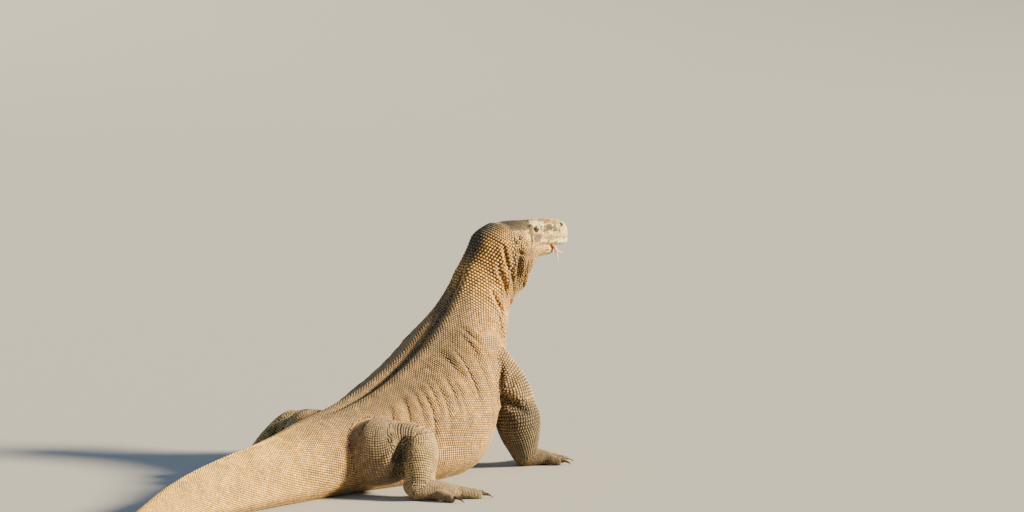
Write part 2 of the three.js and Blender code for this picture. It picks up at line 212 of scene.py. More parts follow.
# %% Rows of the limbs
UPPER_ARM = [
    (428, 46, 298, 34, 44), (456, 84, 272, 44, 54), (482, 115, 244, 41, 50),
    (498, 137, 212, 41, 48), (502, 149, 176, 48, 52), (502, 152, 148, 44, 47),
    (502, 153, 128, 20, 20),
]
FOREARM = [
    (501, 150, 196, 26, 28), (502, 152, 168, 48, 50), (505, 156, 128, 57, 57),
    (514, 157, 90, 52, 51), (528, 157, 52, 41, 40), (538, 157, 20, 31, 30),
]
THIGHS = {
    -1: [(-24, 45, 108, 72, 62), (-12, 90, 102, 85, 82), (0, 130, 104, 84, 82),
         (14, 165, 112, 68, 70), (24, 193, 126, 52, 54), (28, 216, 134, 38, 40),
         (30, 234, 136, 13, 13)],
    1: [(-28, 45, 112, 74, 66), (-12, 82, 107, 84, 82), (16, 118, 107, 76, 78),
        (42, 150, 117, 60, 66), (56, 176, 127, 49, 52), (62, 196, 132, 37, 39),
        (64, 211, 134, 13, 13)],
}
SHANKS = {
    -1: [(26, 196, 160, 20, 22), (27, 204, 141, 38, 42), (18, 222, 110, 42, 46),
         (0, 235, 74, 37, 41), (-16, 245, 40, 32, 33), (-24, 249, 16, 25, 25)],
    1: [(66, 180, 156, 18, 20), (54, 190, 141, 37, 41), (20, 206, 116, 42, 46),
        (-28, 220, 84, 36, 39), (-68, 231, 50, 31, 32), (-86, 236, 24, 24, 25)],
}
HAND_SOLE = [(-30, 0, 20, 10, 9), (-18, 0, 24, 27, 23), (8, 0, 25, 36, 26), (38, 0, 20, 42, 21),
             (62, 0, 16, 42, 17), (76, 0, 14, 35, 13), (84, 0, 13, 16, 7)]
HAND_TOES = [((44, -32), -42, 34), ((58, -20), -20, 46), ((62, -2), -2, 52), ((58, 16), 16, 52),
             ((42, 32), 42, 40)]  # root, turn in degrees, length
FOOT_SOLE = [(-34, 0, 20, 10, 9), (-22, 0, 25, 26, 24), (8, 0, 27, 33, 27), (44, 0, 22, 37, 22),
             (76, 0, 17, 38, 18), (94, 0, 14, 31, 13), (104, 0, 12, 14, 7)]
FOOT_TOES = [((66, -28), -34, 40), ((78, -17), -15, 54), ((82, -1), 0, 66), ((78, 15), 14, 72),
             ((34, 26), 48, 52)]
TOE_RADIUS = 12.5
LIMB_POWER = 2.1  # 2 is an ellipse, more is squarer
FACING_DOWN = 0.7  # a section whose depth is this upright is kept above the floor


# %% A tube, and the places of the feet
def tube_at(rows, across, place):
    across = np.asarray(across, float)
    last = len(rows) - 1

    def at(s, angle):
        row = smooth_rows(rows, s)
        step = (smooth_rows(rows, np.minimum(s + 0.02, last))
                - smooth_rows(rows, np.maximum(s - 0.02, 0)))[..., :3]
        tangent = unit(step)
        right = unit(across - tangent * (tangent @ across)[..., None])
        up = np.cross(tangent, right)
        u = row[..., 3] * signed_power(np.cos(angle), 2 / LIMB_POWER)
        v = row[..., 4] * signed_power(np.sin(angle), 2 / LIMB_POWER)
        rise = up[..., 2]
        floor = np.where(rise > FACING_DOWN, -row[..., 2] / np.maximum(rise, FACING_DOWN), -FAR)
        v = np.maximum(v, floor)
        return place(row[..., :3] + right * u[..., None] + up * v[..., None])
    return at


def mirrored(side):
    return lambda p: p * (1, side, 1)


def turned(base, degrees, then):
    c, s = math.cos(math.radians(degrees)), math.sin(math.radians(degrees))

    def place(p):
        x = base[0] + p[..., 0] * c - p[..., 1] * s
        y = base[1] + p[..., 0] * s + p[..., 1] * c
        return then(np.stack([x, y, p[..., 2]], axis=-1))
    return place


def toe_rows(length):
    r = TOE_RADIUS
    return [(-12, 0, 14, r * 0.8, r * 0.8), (length * 0.3, 0, 15, r, r),
            (length * 0.62, 0, 11.5, r * 0.9, r * 0.9), (length * 0.9, 0, 9.8, r * 0.82, r * 0.8),
            (length, 0, 9.5, r * 0.62, r * 0.66)]


# %% [markdown]
# ## The list of forms
# All forms go in one list, each with its surface function, how many rows it has and which way its
# scales lie: towards the tail on the body, and towards the toes on the limbs.

# %% Gather the forms
OUTWARD, FORWARD = (0, 1, 0), (1, 0, 0)
LOFT_STEP = 5
FORMS = []


def add_form(name, group, at, last, lie, length, girth):
    FORMS.append({"name": name, "group": group, "at": at, "last": last, "lie": lie,
                  "rings": max(6, round(length / LOFT_STEP)),
                  "sides": max(12, round(girth / LOFT_STEP))})


add_form("body", "body", body_at, len(BODY) - 1, -1, 2500, 560)
add_form("skull", "head", head_at(SKULL, 0.1, -1), len(SKULL) - 1, -1, 240, 320)
add_form("jaw", "head", head_at(JAW, -0.05, 1), len(JAW) - 1, -1, 170, 240)


def add_leg(name, rows, across, sole, toes, ankle, turn, side):
    upper, lower = rows
    flip = mirrored(side)
    add_form(name + "_upper", name, tube_at(upper, across, flip), len(upper) - 1, 1, 220, 320)
    add_form(name + "_lower", name, tube_at(lower, OUTWARD, flip), len(lower) - 1, 1, 200, 300)
    stand = turned(ankle, turn, flip)
    add_form(name + "_sole", name, tube_at(sole, OUTWARD, stand), len(sole) - 1, 1, 130, 210)
    for number, (base, toe_turn, length) in enumerate(toes, 1):
        place = turned(base, toe_turn, stand)
        add_form(f"{name}_toe_{number}", name, tube_at(toe_rows(length), OUTWARD, place), 4, 1,
                 length + 12, 80)


ARM = (UPPER_ARM, FOREARM)
add_leg("fore_right", ARM, OUTWARD, HAND_SOLE, HAND_TOES, (538, 157), 14, -1)
add_leg("fore_left", ARM, OUTWARD, HAND_SOLE, HAND_TOES, (538, 157), 22, 1)
add_leg("hind_right", (THIGHS[-1], SHANKS[-1]), FORWARD, FOOT_SOLE, FOOT_TOES, (-22, 248), 36, -1)
add_leg("hind_left", (THIGHS[1], SHANKS[1]), FORWARD, FOOT_SOLE, FOOT_TOES, (-84, 236), 26, 1)

eye_boxes = [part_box("eye_left"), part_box("eye_right")]
eye_middle = sum((np.array(corner) for box in eye_boxes for corner in box), np.zeros(3)) / 4
EYE = (87.0, 40.5, 602.0)  # ahead, outward, up
SHIFT = (eye_middle - head_point(EYE[0], 0.0, EYE[2]) * MM) * (1, 1, 0)
print(len(FORMS), "forms; the frame's origin lies", np.round(SHIFT / MM, 2), "mm away")

# %% [markdown]
# ## Camera
# A long lens from about six metres away, a little over a metre up, looks across the animal's
# right hip. It is set here so that every later step can be judged through it.

# %% Set the camera
CAMERA_PLACE = np.array((-4.8622, -4.0388, 1.09))
LENS, SENSOR = 91.4, 36.0
LOOK_DOWN, LOOK_RIGHT = 4.705, 54.0  # degrees below the horizon, and from +Y towards +X


def linked(name, data):
    made = bpy.data.objects.new(name, data)
    bpy.context.scene.collection.objects.link(made)
    return made


camera_data = bpy.data.cameras.new("camera")
camera_data.lens, camera_data.sensor_width = LENS, SENSOR
camera = linked("camera", camera_data)
camera.location = CAMERA_PLACE + SHIFT
camera.rotation_euler = (math.radians(90 - LOOK_DOWN), 0, math.radians(-LOOK_RIGHT))
bpy.context.scene.camera = camera
print("camera:", round(float(np.linalg.norm(CAMERA_PLACE)), 2), "m from the middle")

# %% [markdown]
# ## Lofts
# A grid is the easiest start for a loft: its columns are bent round into sections, its rows run
# along the form, the two meeting edges are welded and the open ends filled. All the lofts
# overlap, as arms do inside a coat, and are joined in the next step.

# %% Loft every form into one mesh
def loft(bm, form):
    rings, sides = form["rings"], form["sides"]
    made = bmesh.ops.create_grid(bm, x_segments=sides, y_segments=rings, size=1.0)["verts"]
    flat = np.array([v.co[:2] for v in made])
    angle = (flat[:, 0] + 1) * math.pi
    place = np.clip((flat[:, 1] + 1) / 2, 0, 1) * form["last"]
    points = form["at"](place, angle) * MM + SHIFT
    for vert, point in zip(made, points):
        vert.co = point
    bmesh.ops.remove_doubles(bm, verts=made, dist=1e-6)


def mesh_of(bm, name):
    mesh = bpy.data.meshes.new(name)
    bm.to_mesh(mesh)
    bm.free()
    return mesh


shell = bmesh.new()
for form in FORMS:
    loft(shell, form)
open_edges = [edge for edge in shell.edges if edge.is_boundary]
bmesh.ops.holes_fill(shell, edges=open_edges)
bmesh.ops.recalc_face_normals(shell, faces=shell.faces)
lofts = mesh_of(shell, "lofts")
print("lofts:", len(lofts.vertices), "points,", len(open_edges), "open edges filled")

# %% [markdown]
# ## One skin
# A voxel remesh turns the overlapping lofts into one closed surface, as clay pressed together
# would be. A boolean union could do the same but leaves long thin faces. Small even faces are
# better here, because the folds and the face are modelled next by moving points.

# %% Remesh into one surface
VOXEL = 2.4 * MM


def applied(piece):
    graph = bpy.context.evaluated_depsgraph_get()
    mesh = bpy.data.meshes.new_from_object(piece.evaluated_get(graph))
    piece.modifiers.clear()
    piece.data = mesh
    return mesh


skin = linked("skin", lofts)
remesh = skin.modifiers.new("clay", "REMESH")
remesh.mode, remesh.voxel_size, remesh.adaptivity = "VOXEL", VOXEL, 0.0
mesh = applied(skin)
print("skin after the remesh:", len(mesh.vertices), "points")

# %% [markdown]
# ## Points as arrays
# Modelling by hand would move points with a soft brush. Here the same is done on arrays: the
# points are read in millimetres in the animal's own frame, a brush works out how far each point
# goes along its normal, and smoothing moves each point towards the middle of its neighbours.

# %% Read, write and smooth
def read_points(mesh):
    flat = np.empty(len(mesh.vertices) * 3)
    mesh.vertices.foreach_get("co", flat)
    return (flat.reshape(-1, 3) - SHIFT) / MM


def write_points(mesh, points):
    mesh.vertices.foreach_set("co", (points * MM + SHIFT).ravel())
    mesh.update()


def read_edges(mesh):
    flat = np.empty(len(mesh.edges) * 2, dtype=np.int32)
    mesh.edges.foreach_get("vertices", flat)
    return flat.reshape(-1, 2)


def read_normals(mesh):
    flat = np.empty(len(mesh.vertices) * 3)
    mesh.vertex_normals.foreach_get("vector", flat)
    return flat.reshape(-1, 3)


def relax(points, edges, weight, rounds):
    size = len(points)
    a, b = edges.T
    count = np.maximum(np.bincount(a, minlength=size) + np.bincount(b, minlength=size), 1)
    for _ in range(rounds):
        total = np.stack([np.bincount(a, points[b, k], size) + np.bincount(b, points[a, k], size)
                          for k in range(3)], axis=-1)
        points = points + weight[:, None] * (total / count[:, None] - points)
    return points


def off(points, centre, scale=(1, 1, 1)):
    """Distance of each point from a centre, measured with every direction scaled."""
    return np.linalg.norm((points - np.asarray(centre, float)) * scale, axis=-1)


def ball(points, centre, radius):
    return np.exp(-(off(points, centre) / radius) ** 2)


def near_line(points, line, reach):
    """Distance of each point from a line of points, and how far along the line it is, 0 to 1."""
    line = np.asarray(line, float)
    distance = np.full(len(points), FAR)
    along = np.zeros(len(points))
    low, high = line.min(0) - reach, line.max(0) + reach
    some = np.flatnonzero(((points > low) & (points < high)).all(axis=1))
    near = points[some]
    best = np.full(len(some), FAR)
    where = np.zeros(len(some))
    for i in range(len(line) - 1):
        step = line[i + 1] - line[i]
        t = np.clip((near - line[i]) @ step / max(step @ step, 1e-9), 0, 1)
        d = np.linalg.norm(near - line[i] - t[:, None] * step, axis=1)
        closer = d < best
        best[closer] = d[closer]
        where[closer] = (i + t[closer]) / (len(line) - 1)
    distance[some], along[some] = best, where
    return distance, along


# %% Blend the joints of the limbs
points, edges = read_points(mesh), read_edges(mesh)
JOINTS = [((455, 84, 272), 70), ((455, -84, 272), 70), ((503, 152, 150), 55),
          ((503, -152, 150), 55), ((-8, -88, 120), 70), ((-8, 82, 120), 70), ((28, -205, 138), 48),
          ((60, 182, 135), 48), ((533, 157, 42), 38), ((533, -157, 42), 38),
          ((-20, -248, 40), 36), ((-82, 236, 45), 36)]
TOES = [(602, 180, 12), (602, -180, 12), (48, -298, 12), (-8, 275, 12)]
NECK_END_REACH, JAW_ROOT_RADIUS, TOES_RADIUS, MOST_SOFT = 26, 34, 62, 0.65
soft = sum(ball(points, centre, radius) for centre, radius in JOINTS)
neck_end = body_at(np.full(37, len(BODY) - 1.0), np.radians(np.linspace(-180, 180, 37)))
off_ring, _ = near_line(points, neck_end, 60)
jaw_root = sum(ball(points, head_point(26, side * 44, 536), JAW_ROOT_RADIUS)
               for side in (-1, 0, 1))
toes = sum(ball(points, centre, TOES_RADIUS) for centre in TOES)
soft = (0.08 - 0.06 * np.clip(toes * 2, 0, 1) + 0.8 * soft
        + 0.6 * np.exp(-(off_ring / NECK_END_REACH) ** 2) + 0.6 * jaw_root)
rounds = 45
softness = np.clip(soft, 0, MOST_SOFT) * smoothstep(points[:, 2], 0.5, 6)
points = relax(points, edges, softness, rounds)
write_points(mesh, points)
print("joints blended in", rounds, "rounds")

# %% [markdown]
# ## Muscles, furrow and folds
# A sharp furrow runs down the spine between two long muscles. The skin is loose: it gathers in
# deep folds behind the jaw and at the side of the neck, and in softer ones round the trunk,
# above the hips, at the elbows and knees. Each fold is a short line drawn on the body as a row
# number and an angle from the spine, in degrees, right side negative. A fold has a groove and two
# raised lips.

# %% Large forms
def on_body(*places):
    """Points of the body's surface, from (row, degrees from the spine) pairs."""
    s, phi = np.array(places, float).T
    count = 8 * (len(s) - 1) + 1
    fine = np.linspace(0, len(s) - 1, count)
    s, phi = np.interp(fine, np.arange(len(s)), s), np.interp(fine, np.arange(len(phi)), phi)
    return body_at(s, np.radians(90 - phi))


def swell(points, mesh, amounts):
    """Moves points along their normals by the summed amounts."""
    lift = smoothstep(points[:, 2], 1.5, 10)
    points = points + read_normals(mesh) * (amounts * lift)[:, None]
    write_points(mesh, points)
    return points


def groove(points, line, width, depth, lip=0.3):
    d, along = near_line(points, line, 5 * width)
    fade = smoothstep(along, 0, 0.45) * smoothstep(along, 1, 0.55)
    return fade * (-depth * np.exp(-(d / width) ** 1.4)
                   + lip * depth * np.exp(-((d - 2.3 * width) / (1.2 * width)) ** 2))


NAPE_CREST = [(15.7, 17), (16.4, 14), (17.2, 9), (18.4, 6)]  # row and degrees from the spine
SHOULDERS = [((440, 96, 300), 46, 7), ((482, 116, 294), 34, 7), ((492, 172, 222), 40, 5),
             ((486, 130, 176), 30, -3), ((520, 190, 110), 36, 4)]  # place, radius, height
spine = on_body((7.2, 0), (9, 0), (11, 0), (13, 0), (15, 0), (16.6, 0))
d, along = near_line(points, spine, 190)
fade = smoothstep(along, 0, 0.3) * smoothstep(along, 1, 0.86)
muscle = 28 - 5 * smoothstep(along, 0.6, 0.95)
forms = fade * (6.5 * np.exp(-((d - muscle) / 17) ** 2) - 3.0 * np.exp(-((d - 82) / 28) ** 2)
                - 8.5 * np.exp(-(d / 12) ** 2))
crest = on_body(*[(s, 0) for s in np.arange(1.0, 7.5, 0.25)])
d, along = near_line(points, crest, 20)
forms += smoothstep(along, 1, 0.8) * 2.5 * np.exp(-(d / 7) ** 2)
right, left = (near_line(points, on_body(*[(s, side * phi) for s, phi in NAPE_CREST]), 190)
               for side in (-1, 1))
d, along = np.minimum(right[0], left[0]), right[1]
fade = smoothstep(along, 0, 0.3) * smoothstep(along, 1, 0.8)
forms += fade * (6.5 * np.exp(-(d / 20) ** 2) - 3.0 * np.exp(-((d - 56) / 24) ** 2))
for side in (-1, 1):
    forms += 4.5 * ball(points, body_at(14.4, math.radians(90 - 126 * side)), 36)
    for centre, radius, height in SHOULDERS:
        forms += height * ball(points, (centre[0], centre[1] * side, centre[2]), radius)
points = swell(points, mesh, forms)
print("highest swelling:", round(float(forms.max()), 1), "mm")

# %% Folds of loose skin
NECK_FOLDS = [
    ([(18.5, 92), (18.1, 97), (17.5, 104), (16.95, 112), (16.4, 122)], 6.5, 15.0),
    ([(18.2, 118), (17.8, 120), (17.4, 124), (17.0, 138), (16.8, 156)], 5.0, 12.0),
    ([(17.2, 60), (16.8, 73), (16.6, 86), (16.32, 100), (15.85, 118)], 5.0, 11.0),
    ([(17.3, 88), (16.9, 97), (16.6, 115), (16.3, 132)], 4.0, 8.0),
    ([(18.1, 58), (17.65, 70), (17.29, 80), (16.85, 94)], 4.5, 8.0),
    ([(16.1, 68), (15.75, 84), (15.52, 98), (15.1, 120)], 5.0, 7.0),
    ([(15.4, 90), (14.9, 106), (14.5, 124)], 6.0, 5.0),
    ([(16.3, 120), (16.05, 142), (16.1, 164)], 5.0, 8.0),
    ([(15.5, 118), (15.15, 140), (15.2, 166)], 6.0, 6.0),
]
# Each fold is kept here, so that the markings can paint shade into it.
FOLDS = []
amounts = -7.0 * ball(points, body_at(18.2, math.radians(-90)), 32)
for side in (-1, 1):
    for row, height, radius in ((17.05, 6.0, 16), (16.5, -4.0, 14)):
        middle = body_at(row, math.radians(-90 + 31 * side))
        amounts += height * ball(points, middle, radius)
    for places, width, depth in NECK_FOLDS:
        wander = 0 if side < 0 else 0.12
        line = on_body(*[(s + wander * math.sin(5 * phi), side * phi) for s, phi in places])
        amounts += groove(points, line, width, depth)
        FOLDS.append((line, width, depth))
for s in np.arange(10.2, 14.2, 0.29):
    for side in (-1, 1):
        start, lean = rng.uniform(14, 34), rng.uniform(0.6, 0.85)
        end = start + rng.uniform(45, 85)
        s0 = s + rng.uniform(-0.08, 0.08)
        line = on_body(*[(s0 - lean * (phi - 10) / 70, side * phi)
                         for phi in np.linspace(start, end, 5)])
        width, depth = rng.uniform(6, 10), rng.uniform(1.9, 4.4)
        amounts += groove(points, line, width, depth, 0.5)
        FOLDS.append((line, width, depth))
points = swell(points, mesh, amounts)

LIMB_FOLDS = [  # lines in millimetres on the right side, width, depth; mirrored to the left
    ([(430, -130, 330), (462, -128, 250), (470, -118, 190), (462, -110, 160)], 7, 6),
    ([(62, -140, 170), (74, -165, 130), (70, -168, 90)], 7, 4),
    ([(-108, -92, 150), (-112, -104, 110), (-104, -116, 66)], 7, 5),
    ([(440, -100, 222), (446, -118, 200), (452, -142, 185), (456, -165, 177), (467, -186, 164),
      (482, -204, 148), (500, -212, 134)], 10, 14),
    ([(-14, -204, 153), (-25, -200, 140), (-39, -196, 116), (-46, -190, 95), (-48, -183, 74)],
     8, 8),
    ([(-22, -196, 150), (-32, -202, 110), (-36, -194, 70), (-38, -184, 36), (-38, -180, 10)],
     13, 13),
    ([(462, -140, 290), (456, -144, 258), (446, -147, 226), (436, -148, 200), (424, -150, 176)],
     6, 9),
    ([(478, -186, 160), (468, -166, 146), (470, -140, 134)], 5, 3),
    ([(512, -192, 44), (506, -160, 40), (510, -130, 44)], 4, 3),
    ([(560, -190, 46), (562, -160, 52), (560, -128, 44)], 4, 2.5),
    ([(0, -262, 66), (10, -240, 64), (24, -222, 72)], 4, 2.5),
]
amounts = np.zeros(len(points))
for line, width, depth in LIMB_FOLDS:
    for side, share in ((1, 1.0), (-1, 0.6)):
        place = np.array(line, float) * (1, side, 1)
        amounts += groove(points, place, width, share * depth)
        FOLDS.append((place, width, share * depth))


def tree_from(places):
    """A tree that answers which of these places is nearest, or which are near."""
    tree = KDTree(len(places))
    for index, point in enumerate(places):
        tree.insert(point, index)
    tree.balance()
    return tree


def tree_of(name):
    form = next(form for form in FORMS if form["name"] == name)
    s, a = np.meshgrid(np.linspace(0, form["last"], 40), np.linspace(-math.pi, math.pi, 48))
    return tree_from(form["at"](s.ravel(), a.ravel()))


for leg, side in (("hind_right", -1), ("hind_left", 1)):
    thigh, shank = tree_of(leg + "_upper"), tree_of(leg + "_lower")
    near = np.flatnonzero((points[:, 1] * side > 120) & (np.abs(points[:, 0]) < 130)
                          & (points[:, 2] > 8) & (points[:, 2] < 150))
    apart = np.array([(thigh.find(p)[2], shank.find(p)[2]) for p in points[near]])
    crease = np.exp(-((apart[:, 0] - apart[:, 1]) / 7) ** 2) * smoothstep(apart.min(axis=1), 16, 8)
    amounts[near] -= 9 * crease * smoothstep(points[near, 2], 150, 118)
points = swell(points, mesh, amounts)
print("folds drawn:", 2 * len(NECK_FOLDS) + 2 * len(LIMB_FOLDS), "and the trunk's own")

# %% [markdown]
# ## The face
# The head gets finer faces first, where the lids, nostrils and lips are: subdividing only those
# edges keeps the rest light. Both sides are modelled at once by measuring outwards from the
# middle of the head.

# %% Finer faces round the eyes, nostrils and lips
def in_head(points):
    """Ahead of the nape, outward (never negative), up, and the side."""
    heading = heading_at(NAPE_X)
    c, s = math.cos(heading), math.sin(heading)
    base = head_point(0.0, 0.0, 0.0)
    x, y = points[:, 0] - base[0], points[:, 1] - base[1]
    left = -x * s + y * c
    return np.stack([x * c + y * s, np.abs(left), points[:, 2]], axis=-1), np.sign(left)


def refine(mesh, line, radius):
    bm = bmesh.new()
    bm.from_mesh(mesh)
    place, _ = in_head(read_points(mesh))
    chosen = near_line(place, line, radius)[0] < radius
    near = [e for e in bm.edges if chosen[e.verts[0].index] and chosen[e.verts[1].index]]
    bmesh.ops.subdivide_edges(bm, edges=near, cuts=1, use_grid_fill=True)
    bmesh.ops.triangulate(bm, faces=[f for f in bm.faces if len(f.verts) > 4])
    bm.to_mesh(mesh)
    bm.free()


NOSTRIL = np.array((176.0, 26.0, 612.0))
EAR = np.array((10.0, 56.0, 574.0))
EAR_SHAPE = (1.3, 0.4, 0.8)
CHEEK, CHEEK_RADIUS = np.array((44.0, 57.0, 570.0)), 28
MOUTH_LINE = [(46, 60, 556), (60, 56, 551.5), (74, 52, 552.5), (88, 49, 556), (104, 46, 558.5),
              (122, 41, 560), (138, 37, 558.5), (150, 34, 557)]
refine(mesh, [EYE, EYE], 24)
refine(mesh, [EYE, EYE], 15)
refine(mesh, [NOSTRIL, NOSTRIL], 13)
refine(mesh, MOUTH_LINE, 7)
points, edges = read_points(mesh), read_edges(mesh)
print("skin with a finer face:", len(points), "points")

# %% [markdown]
# ## Brow, cheek, lips, nostrils and ears
# A bony brow overhangs the eye, a round jaw muscle fills the cheek behind the mouth, and a low
# ridge runs from the brow to the nostril. The lips are a soft roll with a row of lip scales.

# %% Shape the head
FACE_RIDGES = [  # line, width, height (a negative one is a groove)
    ([(62, 46, 608), (78, 44, 614), (96, 41, 614), (112, 37, 611)], 6, 6.5),  # brow
    ([(110, 38, 611), (134, 34, 614), (162, 29, 617)], 5, 3.0),  # brow to nostril
    ([(104, 44, 594), (134, 39, 598), (162, 36, 600)], 8, -4.0),  # hollow before the eye
    ([(60, 24, 626), (90, 20, 627), (130, 0, 628)], 11, -2.0),  # top of the head
    ([(80, 50, 560), (110, 44, 564), (140, 39, 565), (170, 34, 566), (192, 25, 567)],
     5, 2.8),  # upper lip
    ([(92, 49, 573), (125, 43, 576), (160, 38, 577), (186, 29, 578)], 3.5, -2.2),  # above it
    ([(92, 47, 549), (120, 42, 551), (140, 37, 552), (156, 29, 552)], 4.5, 1.4),  # lower lip
]
UNDER_EYE = [(60, 58, 580), (70, 54, 590), (84, 50, 592)]
BEHIND_CHEEK = [(22, 58, 592), (24, 60, 574), (30, 58, 554), (34, 52, 540)]


def cheek_rim(cheek, ahead, up, width):
    """The crease round the jaw muscle, on its lower and front side only."""
    return np.exp(-((cheek - CHEEK_RADIUS) / width) ** 2) * smoothstep(up - 0.6 * ahead, 560, 530)


def pit(place, centre, size):
    return np.exp(-(((place - centre) / size) ** 2).sum(axis=1))


def pit_rim(place, centre, size, radius, width):
    out = np.linalg.norm((place - centre) / size, axis=1)
    return np.exp(-((out - radius) / width) ** 2)


def face_amounts(place):
    def ridge(line, width, height):
        d, along = near_line(place, line, 4 * width)
        ends = (smoothstep(along, -0.1, 0.15), smoothstep(along, 1.1, 0.85))
        return height * np.exp(-(d / width) ** 2) * ends[0] * ends[1]

    total = np.zeros(len(place))
    for line, width, height in FACE_RIDGES:
        total += ridge(line, width, height)
    total += 2.0 * ball(place, (150, 0, 530), 20)
    total += ridge(MOUTH_LINE, 1.7, -3.6)
    cheek = off(place, CHEEK, (1.1, 0.4, 0.88))
    total += 5.0 * smoothstep(cheek, CHEEK_RADIUS, 12)
    total -= 4.4 * cheek_rim(cheek, place[:, 0], place[:, 2], 3.4)
    total += 2.5 * ball(place, (16, 40, 612), 22) - 4.0 * ball(place, (66, 56, 600), 13)
    total += ridge(UNDER_EYE, 3, -1.2)
    total += ridge(BEHIND_CHEEK, 4, -2.2)
    total -= 5 * pit(place, EAR, (4, 14, 7))
    total += 1.2 * pit_rim(place, EAR, (1, 3, 1.6), 8, 3)
    total -= 6 * pit(place, NOSTRIL, (3.6, 9, 2.8))
    total += 1.3 * pit_rim(place, NOSTRIL, (1.3, 3, 1), 5.5, 2)
    return total


points = swell(points, mesh, face_amounts(in_head(points)[0]))
print("ridges and grooves of the face:", len(FACE_RIDGES) + 3)

# %% [markdown]
# ## Lids
# The skin round each eye is laid over the eyeball: outside an almond it follows a sphere a little
# larger than the eye, and inside the almond it is drawn in behind the eyeball, so that the two
# lids get a crisp edge and a real thickness. A crease above and below finishes them.

# %% Lay the lids over the eyes
EYE_RADIUS = 8.2
LID = 1.3
ALMOND = (6.7, 3.2, 3.7)  # half length, height of the upper half, of the lower half
SLANT = 0.12  # how much the corner by the snout is lower
EDGE = 0.8  # the lids turn in between this share of the almond and its outline


def lid_height(a, z, e):
    """How far the lids stand out from the middle of the eye: a rim, then a crease."""
    sphere = np.sqrt(np.maximum((EYE_RADIUS + LID) ** 2 - a * a - z * z, 0))
    rim = 0.45 * np.exp(-((e - 1.1) / 0.13) ** 2)
    crease = 0.55 * np.exp(-((e - 1.7) / 0.14) ** 2)
    return sphere + rim - crease


def lay_lids(points):
    place, side = in_head(points)
    a, out, z = (place - EYE).T
    slant = z + SLANT * a
    e = np.sqrt((a / ALMOND[0]) ** 2 + (slant / np.where(slant > 0, ALMOND[1], ALMOND[2])) ** 2)
    chosen = (out > -2) & (e < 3.2)
    lid = lid_height(a, z, e)
    mix = np.clip(0.5 + 0.5 * (lid - out) / 1.6, 0, 1)
    outside = out * (1 - mix) + lid * mix + 1.6 * mix * (1 - mix)
    outside -= 0.5 * np.exp(-((e - 2.3) / 0.16) ** 2)
    squeeze = np.where(e > EDGE, 1.0 / np.maximum(e, 1e-6), 1.2)
    a_in, slant_in = a * squeeze, slant * squeeze
    z_in = slant_in - SLANT * a_in
    ball_in = np.sqrt(np.maximum(EYE_RADIUS ** 2 - a_in ** 2 - z_in ** 2, 0)) - 0.8
    turn = np.clip((e - EDGE) / 0.2, 0, 1)
    inside = np.where(e > EDGE, ball_in + turn * (lid_height(a_in, z_in, 1.0) - ball_in), -2.0)
    open_eye = e < 1
    new = np.stack([np.where(open_eye, a_in, a), np.where(open_eye, inside, outside),
                    np.where(open_eye, z_in, z)], axis=-1) + EYE
    points = points.copy()
    points[chosen] = head_point(new[:, 0], new[:, 1] * side, new[:, 2])[chosen]
    return points, np.where(chosen, e, 9.0)


points, opening = lay_lids(points)
points = relax(points, edges, 0.3 * smoothstep(opening, 1.1, 1.5) * smoothstep(opening, 4, 3), 2)
write_points(mesh, points)
print("lids laid")

# %% [markdown]
# ## A lighter skin
# The finely divided surface has done its work, and most of it will lie under scales. Collapsing
# edges where the surface is calm keeps the shape and takes three quarters of the triangles
# away. A weight painted round the eyes and nostrils, and lightly on the rest of the face, keeps
# those parts fine.

# %% Thin out the faces
FACES = 190_000
place, _ = in_head(points)
fine = ball(place, EYE, 16) + ball(place, NOSTRIL, 10) + 0.3 * smoothstep(place[:, 0], 0, 60)
fine = np.clip(fine, 0, 1)
group = skin.vertex_groups.new(name="fine")
for level in np.linspace(0.1, 1.0, 10):
    group.add(np.flatnonzero(np.abs(fine - level) <= 0.05).tolist(), float(level), "REPLACE")
triangles = sum(len(p.vertices) - 2 for p in mesh.polygons)
thin = skin.modifiers.new("thin", "DECIMATE")
thin.ratio = min(1.0, FACES / triangles)
thin.vertex_group, thin.vertex_group_factor, thin.invert_vertex_group = "fine", 4.0, True
mesh = applied(skin)
skin.vertex_groups.clear()
bm = bmesh.new()
bm.from_mesh(mesh)
bmesh.ops.triangulate(bm, faces=bm.faces)
bm.to_mesh(mesh)
bm.free()
points = read_points(mesh)
close = off(in_head(points)[0], EYE) < 12
print("skin thinned to", len(mesh.polygons), "faces,", int(close.sum()), "points round the eyes")

# %% [markdown]
# ## Where on the body is a point?
# The size, the lie and the colour of a scale depend on the part it sits on. Each form is sampled
# again on a coarse net, and every point of the skin takes the form, the row and the angle of the
# nearest sample.

# %% Look up form, row and angle
samples, sample_form, sample_row, sample_angle = [], [], [], []
for number, form in enumerate(FORMS):
    s, a = np.meshgrid(np.linspace(0, form["last"], form["rings"] // 2 + 2),
                       np.linspace(-math.pi, math.pi, form["sides"] // 2 + 2)[:-1], indexing="ij")
    got = form["at"](s.ravel(), a.ravel())
    samples.append(got)
    sample_form.append(np.full(len(got), number))
    sample_row.append(s.ravel())
    sample_angle.append(a.ravel())
samples, sample_form = np.concatenate(samples), np.concatenate(sample_form)
sample_row, sample_angle = np.concatenate(sample_row), np.concatenate(sample_angle)
sample_tree = tree_from(samples)


def look_up(points):
    nearest = np.array([sample_tree.find(p)[1] for p in points], dtype=int)
    return sample_form[nearest], sample_row[nearest], sample_angle[nearest]


skin_form, skin_row, skin_angle = look_up(points)
form_names = np.array([form["name"] for form in FORMS])
form_groups = np.array([form["group"] for form in FORMS])
print("samples of the forms:", len(samples))

# %% [markdown]
# ## Size of the scales
# Scales are largest on the neck and forearms, a little smaller on the trunk and the legs, and
# smallest on the face, the fingers and the end of the tail.

